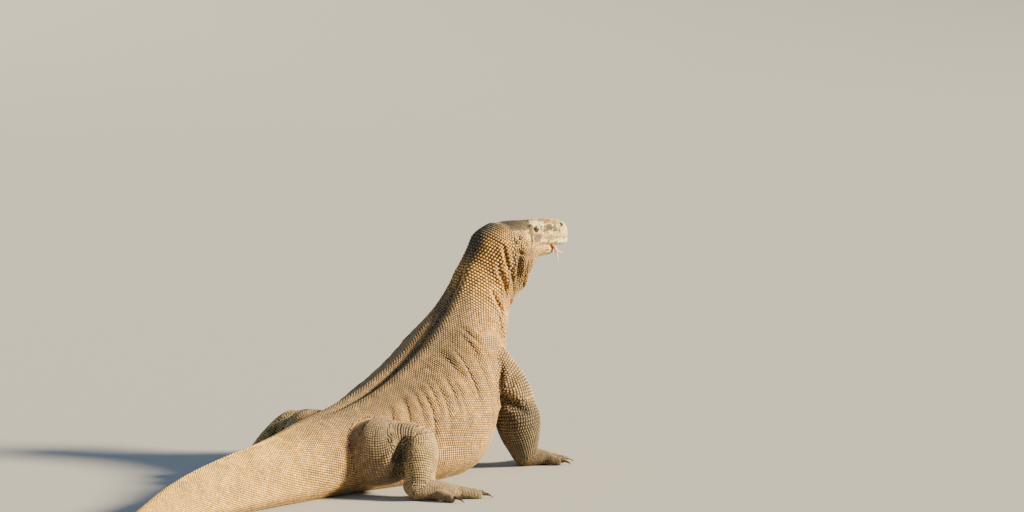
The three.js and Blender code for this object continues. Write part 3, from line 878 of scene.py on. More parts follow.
# %% Pitch of the scales, in millimetres
BODY_PITCH = [2.8, 3.3, 3.8, 4.3, 4.7, 5.1, 5.5, 5.8, 6.0, 6.2, 6.3, 6.4, 6.6, 7.0, 7.6, 8.3, 8.9,
              8.9, 7.6, 5.0]
THROAT_PITCH, HEAD_PITCH, SOLE_PITCH, TOE_PITCH = 5.0, 3.5, 4.4, 3.8
COARSER = 1.0


def pitch_of(form, row, angle):
    """Distance between scales for arrays of form numbers, rows and angles."""
    names = form_names[form]
    pitch = np.interp(row, np.arange(len(BODY_PITCH)), BODY_PITCH)
    throat = smoothstep(row, 14.6, 16.2) * smoothstep(np.sin(angle), 0.1, -0.35)
    pitch = pitch + (THROAT_PITCH - pitch) * throat
    fore, hind = np.char.startswith(names, "fore"), np.char.startswith(names, "hind")
    upper, lower = np.char.endswith(names, "upper"), np.char.endswith(names, "lower")
    pitch = np.where(hind & upper, 6.2, pitch)
    pitch = np.where(fore & upper, 7.3, pitch)
    pitch = np.where(fore & lower, 8.0 - 0.5 * row, pitch)
    pitch = np.where(hind & lower, 7.0 - 0.4 * row, pitch)
    pitch = np.where(np.char.endswith(names, "sole"), SOLE_PITCH, pitch)
    pitch = np.where(np.char.find(names, "toe") > 0, TOE_PITCH, pitch)
    return np.where(form_groups[form] == "head", HEAD_PITCH, pitch) * COARSER


# %% [markdown]
# ## Coat depth
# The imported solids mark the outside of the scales, so the skin is drawn in by the height of the
# scales that will stand on it. The flats on the floor stay where they are.

# %% Draw the skin in
COAT_DEPTH = 0.28  # of the pitch
skin_pitch = pitch_of(skin_form, skin_row, skin_angle)
depth = (COAT_DEPTH * skin_pitch / COARSER) * smoothstep(points[:, 2], 0.5, 4)
lids = ball(in_head(points)[0], EYE, 11)
points = swell(points, mesh, -depth * (1 - lids))
points[:, 2] = np.maximum(points[:, 2], 0)
write_points(mesh, points)
print("skin drawn in by", round(float(depth.min()), 2), "to", round(float(depth.max()), 2), "mm")

# %% [markdown]
# ## Rows of scales
# A monitor's scales sit in rings round the body, every second ring shifted by half a scale, like
# bricks. On each form the rings are spaced by the pitch, and the scales of a ring are counted
# outwards from the spine, so that they also line up along the body.

# %% Lay out the rings
RING_STEP = 0.96  # distance between rings, of the pitch


def ring_places(form, number):
    fine = np.linspace(0, form["last"], 40 * form["last"] + 1)
    sides = np.radians([90, 0, 180])
    track = form["at"](fine[:, None], sides[None, :])
    step = np.linalg.norm(np.diff(track, axis=0), axis=2).mean(axis=1)
    pitch = pitch_of(np.full(len(fine), number), fine, math.pi / 2)
    count = np.concatenate([[0], np.cumsum(step / pitch[1:] / RING_STEP)])
    rings = np.interp(np.arange(0.3, count[-1] - 0.2), count, fine)
    phi = np.linspace(0, 180, 121)
    rows, turns = [], []
    for side in (1, -1):
        net = form["at"](rings[:, None], np.radians(90 - side * phi)[None, :])
        length = np.linalg.norm(np.diff(net, axis=1), axis=2).cumsum(axis=1)
        length = np.concatenate([np.zeros((len(rings), 1)), length], axis=1)
        for index, ring in enumerate(rings):
            wide = float(pitch_of(np.array([number]), np.array([ring]), math.pi / 2)[0])
            first = 0.5 if index % 2 else (0.0 if side > 0 else 1.0)
            wanted = np.arange(first, length[index, -1] / wide - 0.3)
            rows.append(np.full(len(wanted), ring))
            turns.append(90 - side * np.interp(wanted * wide, length[index], phi))
    return np.concatenate(rows), np.radians(np.concatenate(turns))


roots = {"place": [], "form": [], "row": [], "angle": [], "lie": [], "stretch": []}
for number, form in enumerate(FORMS):
    if form["group"] == "head":
        continue
    rows, angles = ring_places(form, number)
    ahead = form["at"](np.minimum(rows + 0.03, form["last"]), angles)
    behind = form["at"](np.maximum(rows - 0.03, 0), angles)
    roots["place"].append(form["at"](rows, angles))
    roots["lie"].append(unit(ahead - behind) * form["lie"])
    run = np.linalg.norm(ahead - behind, axis=1)
    ring, members = np.unique(rows, return_inverse=True)
    roots["stretch"].append(run / (np.bincount(members, run) / np.bincount(members))[members])
    roots["form"].append(np.full(len(rows), number))
    roots["row"].append(rows)
    roots["angle"].append(angles)
roots = {key: np.concatenate(value) for key, value in roots.items()}
print("scales laid out in rings:", len(roots["place"]))

# %% [markdown]
# ## Onto the skin
# Each place is moved to the nearest point of the finished skin, with the skin's smooth normal
# there. Places that end up far from where they started lie inside another form and are dropped,
# and so are those on the flats the animal rests on.

# %% Project to the skin and drop what doubles
corners = np.empty(len(mesh.polygons) * 3, dtype=np.int32)
mesh.polygons.foreach_get("vertices", corners)
corners = corners.reshape(-1, 3)
skin_normals = read_normals(mesh)
tree = BVHTree.FromPolygons([tuple(p) for p in points], corners.tolist())


def onto_skin(places):
    found = [tree.find_nearest(p) for p in places]
    where = np.array([f[0] for f in found])
    face = np.array([f[2] for f in found])
    far = np.array([f[3] for f in found])
    a, b, c = (points[corners[face, k]] for k in range(3))
    area = np.stack([np.linalg.norm(np.cross(b - where, c - where), axis=1),
                     np.linalg.norm(np.cross(c - where, a - where), axis=1),
                     np.linalg.norm(np.cross(a - where, b - where), axis=1)], axis=1) + 1e-9
    area /= area.sum(axis=1, keepdims=True)
    normal = unit(sum(skin_normals[corners[face, k]] * area[:, k:k + 1] for k in range(3)))
    return where, normal, face, far


def thinned(place, pitch, first, share=0.68):
    """Keeps scales in the order given and drops those too near a kept one."""
    tree = tree_from(place)
    keep = np.ones(len(place), dtype=bool)
    rank = np.empty(len(place), dtype=int)
    rank[first] = np.arange(len(place))
    for index in first:
        if keep[index]:
            for _, other, _ in tree.find_range(place[index], share * pitch[index]):
                if rank[other] > rank[index]:
                    keep[other] = False
    return keep


MOST_MOVED = 14  # millimetres; a place that moves further was inside another form
where, normal, _, far = onto_skin(roots["place"])
pitch = pitch_of(roots["form"], roots["row"], roots["angle"])
resting = (where[:, 2] < 1.2) & (normal[:, 2] < -0.6)
on_body_form = form_names[roots["form"]] == "body"
on_head = on_body_form & (in_head(where)[0][:, 0] > -2)
back_pitch = pitch_of(roots["form"], roots["row"], math.pi / 2)
on_throat = on_body_form & (roots["row"] > 14) & (pitch < 0.8 * back_pitch)
keep = (far < MOST_MOVED) & ~resting & ~on_head & ~on_throat
roots = {key: value[keep] for key, value in roots.items()}
roots.update(place=where[keep], normal=normal[keep], pitch=pitch[keep], far=far[keep])
keep = thinned(roots["place"], roots["pitch"], np.argsort(roots["far"] + 0.1 * roots["pitch"]))
roots = {key: value[keep] for key, value in roots.items()}
print("scales kept in rings:", len(roots["place"]))

# %% One row of larger scales along each lip
LIP_ROWS = [  # ahead, outward, up along the lip, and the pitch
    ([(58, 60, 560), (90, 52, 563), (120, 44, 565.5), (150, 38, 563), (180, 33, 562),
      (197, 22, 566), (204, 2, 570)], 5.4),
    ([(66, 58, 545), (100, 49, 551), (125, 42, 552.5), (145, 36, 549), (160, 26, 546),
      (168, 4, 545)], 4.8),
]
for places, wide in LIP_ROWS:
    places = np.array(places, float)
    run = np.concatenate([[0], np.linalg.norm(np.diff(places, axis=0), axis=1).cumsum()])
    wanted = np.arange(0.5 * wide, run[-1], wide)
    for side in (1, -1):
        ahead, out, up = (np.interp(wanted, run, places[:, k]) for k in range(3))
        line = head_point(ahead, out * side, up)
        where, normal, _, _ = onto_skin(line)
        form, row, angle = look_up(where)
        more = {"place": where, "form": form, "row": row, "angle": angle, "normal": normal,
                "lie": -unit(np.gradient(line, axis=0)), "stretch": np.ones(len(line)),
                "pitch": np.full(len(line), wide), "far": np.zeros(len(line))}
        roots = {key: np.concatenate([value, more[key]]) for key, value in roots.items()}
print("with the lips:", len(roots["place"]))

# %% [markdown]
# ## Scales of the head, and the gaps
# On the head the scales are small and in no rows. Random points are thrown on the skin, and one
# is kept only where no other scale is near, which is called dart throwing. The same darts fill
# the gaps where two forms meet. Then the loose ones push each other apart for an even spread.

# %% Throw darts
DARTS_PER_PLACE = 7
edge_a = points[corners[:, 1]] - points[corners[:, 0]]
edge_b = points[corners[:, 2]] - points[corners[:, 0]]
area = np.linalg.norm(np.cross(edge_a, edge_b), axis=1) / 2
face_pitch = skin_pitch[corners[:, 0]]
face_pitch = face_pitch * np.where(off(in_head(points[corners[:, 0]])[0], EYE) < 15, 0.6, 1.0)
chance = area / face_pitch ** 2
darts = rng.choice(len(corners), size=int(chance.sum() * DARTS_PER_PLACE),
                   p=chance / chance.sum())
u, v = rng.random((2, len(darts), 1))
u, v = np.where(u + v > 1, 1 - u, u), np.where(u + v > 1, 1 - v, v)
throw = points[corners[darts, 0]] + edge_a[darts] * u + edge_b[darts] * v
throw_pitch = face_pitch[darts]
root_tree = tree_from(roots["place"])
found = [root_tree.find(p)[1:] for p in throw]
nearest, far = np.array([f[0] for f in found]), np.array([f[1] for f in found])
far -= 0.5 * np.maximum(roots["pitch"][nearest] - throw_pitch, 0)
place, _ = in_head(throw)
ahead, out, up = place.T
low = throw[:, 2] < 1.5
bare = off(place, EYE) < EYE_RADIUS + 0.6
bare |= off(place, NOSTRIL, (1, 0.4, 1.2)) < 4.6
bare |= off(place, EAR, EAR_SHAPE) < 4.2
way = skin_normals[corners[darts, 0]][:, 2]
mouth_floor = (way > 0) & (up > 544) & (up < 560)
palate = (way < 0) & (up > 550) & (up < 562) & (out < 28)
inner_mouth = (ahead > 138) & (np.abs(way) > 0.45) & (mouth_floor | palate)
ok = (far > 0.76 * throw_pitch) & ~low & ~bare & ~inner_mouth
throw, throw_pitch = throw[ok], throw_pitch[ok]
keep = thinned(throw, throw_pitch, np.arange(len(throw)), 0.8)
throw, throw_pitch = throw[keep], throw_pitch[keep]
PUSH_REACH, PUSH = 1.35, 0.12
for _ in range(4):
    crowd = tree_from(np.concatenate([throw, roots["place"]]))
    push = np.zeros_like(throw)
    for index, point in enumerate(throw):
        reach = PUSH_REACH * throw_pitch[index]
        for other, number, gap in crowd.find_range(point, reach):
            if number != index:
                push[index] += (point - np.array(other)) / max(gap, 0.2) * (reach - gap)
    throw, throw_normal, throw_face, _ = onto_skin(throw + PUSH * push)
throw_form, throw_row, throw_angle = (values[corners[throw_face, 0]] for values in
                                      (skin_form, skin_row, skin_angle))
print("scales thrown:", len(throw))

# %% Join both lists
def lie_of(form, row, angle):
    lie = np.zeros((len(form), 3))
    for number, entry in enumerate(FORMS):
        chosen = form == number
        if chosen.any():
            s, a = row[chosen], angle[chosen]
            step = (entry["at"](np.minimum(s + 0.05, entry["last"]), a)
                    - entry["at"](np.maximum(s - 0.05, 0), a))
            lie[chosen] = unit(step) * entry["lie"]
    return lie


thrown = {"place": throw, "normal": throw_normal, "form": throw_form, "row": throw_row,
          "angle": throw_angle, "pitch": throw_pitch, "stretch": np.zeros(len(throw)),
          "lie": lie_of(throw_form, throw_row, throw_angle)}
scales = {key: np.concatenate([roots[key], value]) for key, value in thrown.items()}
normal = scales["normal"]
lie = scales["lie"] - normal * (scales["lie"] * normal).sum(axis=1, keepdims=True)
scales["lie"] = unit(lie + 1e-6)
scales["across"] = np.cross(normal, scales["lie"])
everywhere = tree_from(scales["place"])
room = np.array([[hit[2] for hit in everywhere.find_n(p, 5)[1:]] for p in scales["place"]])
in_ring = scales["stretch"] > 0
free = np.clip(room.mean(axis=1), 0.6 * scales["pitch"], 1.5 * scales["pitch"])
scales["long_room"] = np.where(
    in_ring, scales["pitch"] * np.clip(1.02 * scales["stretch"], 0.8, 1.5), free)
scales["wide_room"] = np.where(in_ring, 1.04 * scales["pitch"], free)
print("scales in all:", len(scales["place"]))

# %% [markdown]
# ## Markings
# The back is dusty brown, the tail and the sides of the neck are sandy, the face is cream with a
# dark crown and greyish marks, and the forearms and thighs are duller. The top of the neck is
# greyer and darkened as painted shade. The same function paints the skin and the scales from where
# they are, so that both carry the same markings. The skin between the scales is the same hue, but
# darker as painted shade, and painted shade darkens skin and scales deepest in a fold.

# %% Paint by place
def linear(*srgb):
    c = np.array(srgb, float) / 255
    return np.where(c <= 0.04045, c / 12.92, ((c + 0.055) / 1.055) ** 2.4)


def mottle(points, size, seed, waves=7):
    """Soft patches of about this size, from crossing waves; runs from -1 to 1."""
    local = np.random.default_rng(seed)
    total = np.zeros(len(points))
    for _ in range(waves):
        way = unit(local.normal(size=3)) * 2 * math.pi / (size * local.uniform(0.7, 1.5))
        total += np.sin(points @ way + local.uniform(0, 6.3))
    return total / math.sqrt(waves / 2) / 2


TRUNK, BACK, TAIL, NECK = (200, 164, 112), (138, 120, 94), (248, 206, 120), (238, 188, 108)
THROAT, BELLY, CROWN, FACE = (206, 166, 106), (170, 140, 96), (88, 78, 68), (226, 194, 130)
BROW, GREY, FORELEG, THIGH = (255, 253, 204), (106, 96, 98), (198, 171, 130), (158, 138, 108)
SHANK, RUST, MUZZLE, NAPE = (190, 166, 118), (128, 76, 46), (254, 242, 182), (104, 96, 84)
LIP_SPOT, MOUTH, PINK, DUSK = (240, 214, 200), (96, 56, 48), (176, 124, 96), (130, 116, 92)
JAW_SPOT, CHEEK_GOLD, LIP_TAN = (150, 112, 70), (246, 208, 124), (176, 156, 116)
SPECKLE, OLIVE, CREASE_SHADE, EYE_CORNER = (104, 90, 68), (104, 96, 66), (96, 76, 52), (70, 60, 58)
EYE_RIM, NOSTRIL_SHADE, EAR_SHADE = (44, 34, 30), (20, 14, 12), (60, 46, 36)
MOUTH_LINE_SHADE = (50, 36, 30)
FACE_PATCHES = [  # ahead, up, half length, half height, colour, share
    (170, 590, 40, 40, MUZZLE, 0.5), (96, 613, 21, 11, BROW, 1.0),
    (132, 606, 13, 9, GREY, 0.95), (152, 601, 9, 9, OLIVE, 0.85),
    (120, 596, 6, 5, GREY, 0.8), (158, 616, 14, 6, CROWN, 0.45),
    (132, 621, 12, 5, PINK, 0.85), (92, 578, 14, 11, GREY, 0.85),
    (70, 600, 9, 16, CROWN, 0.8), (44, 570, 19, 24, CHEEK_GOLD, 0.8),
    (30, 612, 40, 11, CROWN, 0.85),
]


def paleness(colours):
    return smoothstep(colours @ (0.3, 0.6, 0.1), 0.5, 0.85)


def paint(points, form, row, angle):
    """Colour of the scale tips at these points, linear."""
    names = form_names[form]
    spine = np.clip(np.sin(angle), -1, 1)
    body = names == "body"
    at = in_head(points)[0]
    ahead, out, up = at.T
    colour = np.tile(linear(*TRUNK), (len(points), 1))

    def lay(weight, srgb, most=1.0):
        nonlocal colour
        weight = (np.clip(weight, 0, 1) * most)[:, None]
        colour = colour * (1 - weight) + linear(*srgb) * weight

    lay(smoothstep(spine, 0.55, 0.95) * body, BACK, 0.8)
    lay(smoothstep(row, 8.6, 6.6) * body, TAIL)
    lay(smoothstep(row, 4.0, 0.0) * body, BACK, 0.7)
    lay(smoothstep(row, 14.8, 16.6) * body, NECK)
    # The top of the neck takes a greyer colour, darkened as painted shade.
    lay(smoothstep(row, 15.5, 17.5) * smoothstep(spine, 0.86, 0.985) * body, NAPE)
    lay(smoothstep(row, 17.5, 18.7) * smoothstep(spine, 0.66, 0.93) * body, NAPE, 0.9)
    lay(smoothstep(row, 17.9, 19.0) * smoothstep(spine, 0.35, 0.85) * body, NAPE, 0.6)
    lay(smoothstep(row, 16.0, 18.0) * smoothstep(spine, 0.0, -0.7) * body, THROAT)
    lay(smoothstep(spine, -0.45, -0.9) * body * smoothstep(row, 15, 13.5), BELLY)
    fore, hind = np.char.startswith(names, "fore"), np.char.startswith(names, "hind")
    foot = np.char.endswith(names, "sole") | (np.char.find(names, "toe") > 0)
    lay(fore * smoothstep(points[:, 2], 330, 230), FORELEG)
    lay(fore * smoothstep(points[:, 2], 188, 150), DUSK, 0.9)
    lay(hind * smoothstep(np.abs(points[:, 1]), 70, 110), THIGH)
    lay(hind * np.char.endswith(names, "lower"), SHANK, 0.8)
    lay(foot, THIGH, 0.45)
    groin = ball(points, (-92, -92, 118), 30) + ball(points, (-98, 88, 118), 30)
    lay(groin, RUST, 0.55)
    head = (form_groups[form] == "head") | (body & (ahead > -8))
    face = head * smoothstep(ahead, -6, 16)
    lay(face, FACE)
    lay(face * smoothstep(up, 612, 622) * smoothstep(ahead, 112, 78), CROWN, 0.95)
    lay(face * smoothstep(ahead, 120, 150) * smoothstep(up, 585, 560) * (up > 550), MUZZLE)
    # The back of the head takes the same greyer colour, darkened as painted shade.
    lay(face * smoothstep(ahead, 20, -4), NAPE, 0.6)
    lay(face * smoothstep(up, 592, 612) * smoothstep(ahead, 60, 30), CROWN, 0.85)
    lay(face * smoothstep(up, 560, 542), THROAT, 0.75)
    off_middle = out > 14

    def patch(a, z, long, high, srgb, most):
        shape = ((ahead - a) / long) ** 2 + ((up - z) / high) ** 2 + 0.35 * mottle(points, 9, 3)
        lay(face * smoothstep(shape, 1.25, 0.7) * off_middle, srgb, most)

    for values in FACE_PATCHES:
        patch(*values)
    cheek = np.hypot((ahead - CHEEK[0]) * 1.1, (up - CHEEK[2]) * 0.88)
    # Painted shade in the crease round the jaw muscle.
    lay(face * cheek_rim(cheek, ahead, up, 3.0) * off_middle, CREASE_SHADE, 0.6)
    patch(103, 604, 3, 9, EYE_CORNER, 0.7)
    patch(108, 574, 7, 6, LIP_SPOT, 1.0)
    spots = smoothstep(mottle(points, 10, 7), 0.2, 0.7)
    lay(face * spots * smoothstep(up, 557, 549), JAW_SPOT, 0.6)
    patch(140, 578, 30, 4, LIP_TAN, 0.6)
    eye_off = off(at, EYE)
    beside = smoothstep(np.abs(ahead - EYE[0]), 3, 10)
    lay(face * np.exp(-((eye_off - 12) / 2.5) ** 2) * (up < 602) * beside, BROW, 0.75)
    lay(face * np.exp(-((eye_off - 9) / 1.3) ** 2), EYE_RIM, 0.75)
    # The nostril and the ear opening are painted dark: painted shade inside their pits.
    lay(face * (off(at, NOSTRIL) < 6.8), NOSTRIL_SHADE, 0.97)
    lay(face * (off(at, EAR, EAR_SHAPE) < 5), EAR_SHADE, 0.8)
    lay(face * (ahead > 138) * smoothstep(np.abs(up - 554.5), 5, 2.5) * (out < 31), MOUTH, 0.85)
    # Painted shade along the line where the lips meet.
    lay(face * np.exp(-(near_line(at, MOUTH_LINE, 5)[0] / 1.5) ** 2), MOUTH_LINE_SHADE, 0.9)
    lay(face * smoothstep(mottle(points, 12, 5), 0.3, 0.8), SPECKLE, 0.7)
    lay(face * smoothstep(mottle(points, 7, 6), 0.4, 0.9) * (ahead > 100), BROW, 0.5)
    tone = 1 + 0.12 * mottle(points, 60, 1) + 0.08 * mottle(points, 19, 2)
    colour = colour * (0.76 + 0.24 * paleness(colour))[:, None]
    return np.clip(colour * tone[:, None], 0.002, 0.9)


def fold_shade(points):
    """How deep in a fold a point lies, 0 to 1: the share of painted shade there."""
    deep = np.zeros(len(points))
    for line, width, depth in FOLDS:
        d, along = near_line(points, line, 3 * width)
        fade = smoothstep(along, 0, 0.3) * smoothstep(along, 1, 0.7) * min(1.0, (depth / 8) ** 1.3)
        deep = np.maximum(deep, fade * np.exp(-(d / (1.1 * width)) ** 2))
    return deep


def lower_neck(form, row):
    """Where the painted shade in the gaps between the scales is lighter: the lower half of the
    neck.
    """
    return (form_names[form] == "body") * smoothstep(row, 13, 15) * smoothstep(row, 17.4, 16.2)


# %% Paint the skin and the scales
SKIN_TINT = np.array((0.92, 0.95, 1.0))
face_skin = form_groups[skin_form] == "head"
skin_colour = paint(points, skin_form, skin_row, skin_angle) * SKIN_TINT
# The skin between the scales is darkened as painted shade, less where the face is pale and on the
# lower neck, and painted shade deepens it in the folds.
gap = np.where(face_skin, 0.34 + 0.56 * paleness(skin_colour),
               0.2 + 0.15 * lower_neck(skin_form, skin_row))
skin_colour *= (gap * (1 - 0.85 * fold_shade(points)))[:, None]
scale_colour = paint(scales["place"], scales["form"], scales["row"], scales["angle"])
# Painted shade darkens the scales in the folds as well.
scale_colour *= (1 - 0.88 * fold_shade(scales["place"]))[:, None]
chance = rng.normal(size=len(scale_colour))
scale_group = form_groups[scales["form"]]
spread = np.where(scale_group == "head", 0.22, 0.15)
scale_colour = scale_colour * np.exp(chance * spread)[:, None]
print("colour of the palest scale:", np.round(scale_colour.max(axis=0), 2))


def store_colour(mesh, colours):
    layer = mesh.color_attributes.new(name="hide_colour", type="FLOAT_COLOR", domain="POINT")
    flat = np.ones((len(colours), 4))
    flat[:, :3] = np.clip(colours, 0, 1)
    layer.data.foreach_set("color", flat.ravel())


store_colour(mesh, skin_colour)

# %% [markdown]
# ## The shape of one scale
# One scale is a low dome on a foot of six to eight sides. Its top leans the way the scale lies,
# and the keeled kind is drawn out into a ridge. A cone with its top face poked is all it takes:
# with smooth shading, twenty to thirty triangles look round, and there are tens of thousands of
# copies. The three kinds have their points in the same order, so that they can be blended.

# %% Make the unit scale
def unit_scale(sides, waist, shoulder, lean, keel):
    bm = bmesh.new()
    bmesh.ops.create_cone(bm, cap_ends=True, segments=sides, radius1=1.0, radius2=waist, depth=1.0)
    top = [face for face in bm.faces if all(vert.co.z > 0 for vert in face.verts)]
    tip = bmesh.ops.poke(bm, faces=top)["verts"][0]
    for vert in bm.verts:
        if vert is tip:
            vert.co = (lean, 0, 1)
        elif vert.co.z > 0:
            vert.co = (vert.co.x + lean * 0.6, vert.co.y * keel, shoulder)
        else:
            vert.co.z = 0
    bmesh.ops.recalc_face_normals(bm, faces=bm.faces)
    bm.verts.index_update()
    places = np.array([tuple(vert.co) for vert in bm.verts])
    faces = [[vert.index for vert in face.verts] for face in bm.faces]
    bm.free()
    return places, faces


KINDS = [(0.80, 0.80, 0.10, 1.0), (0.60, 0.64, 0.14, 1.0), (0.68, 0.60, 0.36, 0.66)]
SHAPES = {sides: [unit_scale(sides, *kind) for kind in KINDS]
          for sides in (6, 7, 8)}  # flat, beaded and keeled
print("points and faces of one scale:", [(len(kinds[0][0]), len(kinds[0][1]))
                                         for kinds in SHAPES.values()])

# %% [markdown]
# ## Coats of scales
# All scales of one region are written into one mesh in a single step. Each gets its place, its
# lie, its size and its colour, with painted shade at its foot and a painted highlight at its tip.
# Neck and forelegs have beads, the tail has keels. A scale's UV patch is small and sits where its
# root lies on the unrolled body: along the form one way, round it the other.

# %% Grow one coat's scales
SINK = 0.16  # of its height, how far the foot of a scale is let into the skin
JITTER = 0.07
FLOOR_GAP = 0.15  # millimetres between the lowest scales and the floor
PATCH_HALF = 0.0015  # half of a scale's patch in the UV map


def local_random(name):
    return np.random.default_rng(sum(map(ord, name)))


def grown(name, take, base_colour, kinds):
    """Places, unit-scale places and colours of all points, one row for each scale."""
    row, pitch = take["row"], take["pitch"]
    names = form_names[take["form"]]
    body, head = names == "body", form_groups[take["form"]] == "head"
    tail = body * smoothstep(row, 9.4, 7.0)
    neck = smoothstep(row, 15.4, 17.2) * body
    jitter = np.exp(JITTER * local_random(name).normal(size=(len(row), 3)))
    beaded = neck + (1 - neck) * np.char.startswith(names, "fore")
    beaded = beaded * (1 - 0.7 * smoothstep(row, 17.8, 19) * body)
    high = pitch * np.where(head, 0.17, 0.29 + 0.10 * beaded) * jitter[:, 0]
    crest = smoothstep(np.abs(np.cos(take["angle"])), 0.2, 0.0) * (np.sin(take["angle"]) > 0)
    high += pitch * tail * (0.05 + 0.4 * crest)
    half = np.where(head, 0.53, 0.52)
    long = take["long_room"] * (half + 0.1 * tail) * jitter[:, 1]
    wide = take["wide_room"] * half * jitter[:, 2]
    flat, bead, keel = kinds
    places = (flat[None] + beaded[:, None, None] * (bead - flat)[None]
              + tail[:, None, None] * (keel - flat)[None])
    height = (places[:, :, 2] * (1 + SINK) - SINK) * high[:, None]
    shift = (places[:, :, 0, None] * (long[:, None, None] * take["lie"][:, None, :])
             + places[:, :, 1, None] * (wide[:, None, None] * take["across"][:, None, :])
             + height[:, :, None] * take["normal"][:, None, :])
    spots = take["place"][:, None, :] + shift
    spots[:, :, 2] = np.maximum(spots[:, :, 2], FLOOR_GAP)
    # The foot and waist of each scale are darkened as painted shade and its tip is lightened as a
    # painted highlight; pale face scales and the lower neck get less shade at the foot.
    foot = np.where(head, 0.36 + 0.4 * paleness(base_colour),
                    0.24 + 0.16 * lower_neck(take["form"], row))[:, None]
    waist = np.where(head, 0.9, 0.86 - 0.26 * beaded)[:, None]
    tip = (1.14 + 0.14 * beaded)[:, None]
    shade = np.where(places[:, :, 2] < 0.1, foot, np.where(places[:, :, 2] < 0.9, waist, tip))
    return spots, places, base_colour[:, None, :] * shade[:, :, None]


def unrolled(form, row, angle):
    """Where each root lies on the unrolled forms: a lane for each form, along it and round it."""
    numbers, lane = np.unique(form, return_inverse=True)
    if (form_names[form] == "body").all():
        low = row.min()
        along = (row - low) / (max(row.max(), low + 1e-3) - low)
    else:
        along = row / np.array([FORMS[number]["last"] for number in form], float)
    u = (lane + 0.02 + 0.96 * along) / len(numbers)
    v = (angle % (2 * math.pi)) / (2 * math.pi)
    return np.stack([u, v], axis=-1) * 0.99 + 0.005


# %% Build the coats from arrays
def coat(name, chosen, sides):
    take = {key: value[chosen] for key, value in scales.items()}
    count = len(take["place"])
    kinds, faces = [kind[0] for kind in SHAPES[sides]], SHAPES[sides][0][1]
    spots, places, colours = grown(name, take, scale_colour[chosen], kinds)
    corners = places.shape[1]
    patch = unrolled(take["form"], take["row"], take["angle"])
    uv = patch[:, None, :] + PATCH_HALF * places[:, :, :2]
    mesh = bpy.data.meshes.new(name)
    sizes = np.array([len(face) for face in faces])
    order = np.concatenate(faces)
    loops = (order[None, :] + corners * np.arange(count)[:, None]).ravel()
    totals = np.tile(sizes, count)
    mesh.vertices.add(count * corners)
    mesh.vertices.foreach_set("co", (spots * MM + SHIFT).ravel())
    mesh.loops.add(len(loops))
    mesh.loops.foreach_set("vertex_index", loops.astype(np.int32))
    mesh.polygons.add(len(totals))
    mesh.polygons.foreach_set("loop_start", (np.cumsum(totals) - totals).astype(np.int32))
    mesh.polygons.foreach_set("use_smooth", np.ones(len(totals), dtype=bool))
    mesh.update(calc_edges=True)
    layer = mesh.uv_layers.new(name="OFBake")
    layer.data.foreach_set("uv", uv[:, order].ravel())
    store_colour(mesh, colours.reshape(-1, 3))
    piece = linked(name, mesh)
    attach(piece, "root")
    print(f"{name}: {count} scales, {count * int((sizes - 2).sum())} triangles")
    return piece


CUTS = [("scales_tail_end", 0, 5.0, 6), ("scales_tail_base", 5.0, 8.2, 7),
        ("scales_hips", 8.2, 10.6, 8), ("scales_trunk", 10.6, 12.6, 8),
        ("scales_chest", 12.6, 15.2, 8), ("scales_neck", 15.2, 20, 8)]  # rows and sides
GROUPS = [("head", 7), ("fore_right", 8), ("fore_left", 8), ("hind_right", 8), ("hind_left", 8)]
on_trunk = scale_group == "body"
coats = [coat(name, on_trunk & (scales["row"] >= low) & (scales["row"] < high), sides)
         for name, low, high, sides in CUTS]
coats += [coat("scales_" + name, scale_group == name, sides) for name, sides in GROUPS]

# %% [markdown]
# ## Eyes
# A monitor's eye is a dark amber ball with a round pupil, wet and shiny. A fine sphere sits
# behind the lids, with its poles turned outwards, so that the iris can be drawn as rings by how
# far a point lies from the pole.

# %% Make the eyes
def store_value(mesh, name, values):
    mesh.attributes.new(name=name, type="FLOAT", domain="POINT").data.foreach_set("value", values)


eyes = []
for side, name in ((1, "eye_left"), (-1, "eye_right")):
    centre = head_point(EYE[0], side * EYE[1], EYE[2])
    gaze = unit(head_point(EYE[0] + 0.28, side * (EYE[1] + 1), EYE[2] + 0.02) - centre)
    turn = Vector(gaze).to_track_quat("Z", "Y").to_matrix().to_4x4()
    bm = bmesh.new()
    bmesh.ops.create_uvsphere(bm, u_segments=48, v_segments=32, radius=EYE_RADIUS * MM)
    bmesh.ops.transform(bm, matrix=turn, verts=bm.verts)
    bmesh.ops.translate(bm, vec=Vector(centre * MM + SHIFT), verts=bm.verts)
    ball_mesh = mesh_of(bm, name + "_ball")
    ball_mesh.shade_smooth()
    away = unit(read_points(ball_mesh) - centre)
    store_value(ball_mesh, "from_pupil", np.degrees(np.arccos(np.clip(away @ gaze, -1, 1))))
    eye = linked(name + "_ball", ball_mesh)
    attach(eye, "root")
    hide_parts(name)
    eyes.append(eye)
print("eyes:", len(eyes))

# %% [markdown]
# ## Claws and tongue
# The claws are curved horn cones, and the forked tongue hangs over the lower lip. The packed
# solids have the right places and sizes but few faces. A copy of each is merged and given a
# subdivision surface, which rounds the facets.

# %% Smooth copies of the claws and the tongue
def rounded(name, nodes, change):
    bm = bmesh.new()
    for node in nodes:
        part = bmesh.new()
        part.from_mesh(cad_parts[node].data)
        bmesh.ops.remove_doubles(part, verts=part.verts, dist=1e-5)
        bmesh.ops.dissolve_limit(part, angle_limit=0.01, verts=part.verts, edges=part.edges)
        part.normal_update()
        change(part, node)
        held = mesh_of(part, "held")
        bm.from_mesh(held)
        bpy.data.meshes.remove(held)
    made = mesh_of(bm, name)
    made.shade_smooth()
    piece = linked(name, made)
    smooth = piece.modifiers.new("smooth", "SUBSURF")
    smooth.levels = smooth.render_levels = 2
    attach(piece, "root")
    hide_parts(*nodes)
    return piece


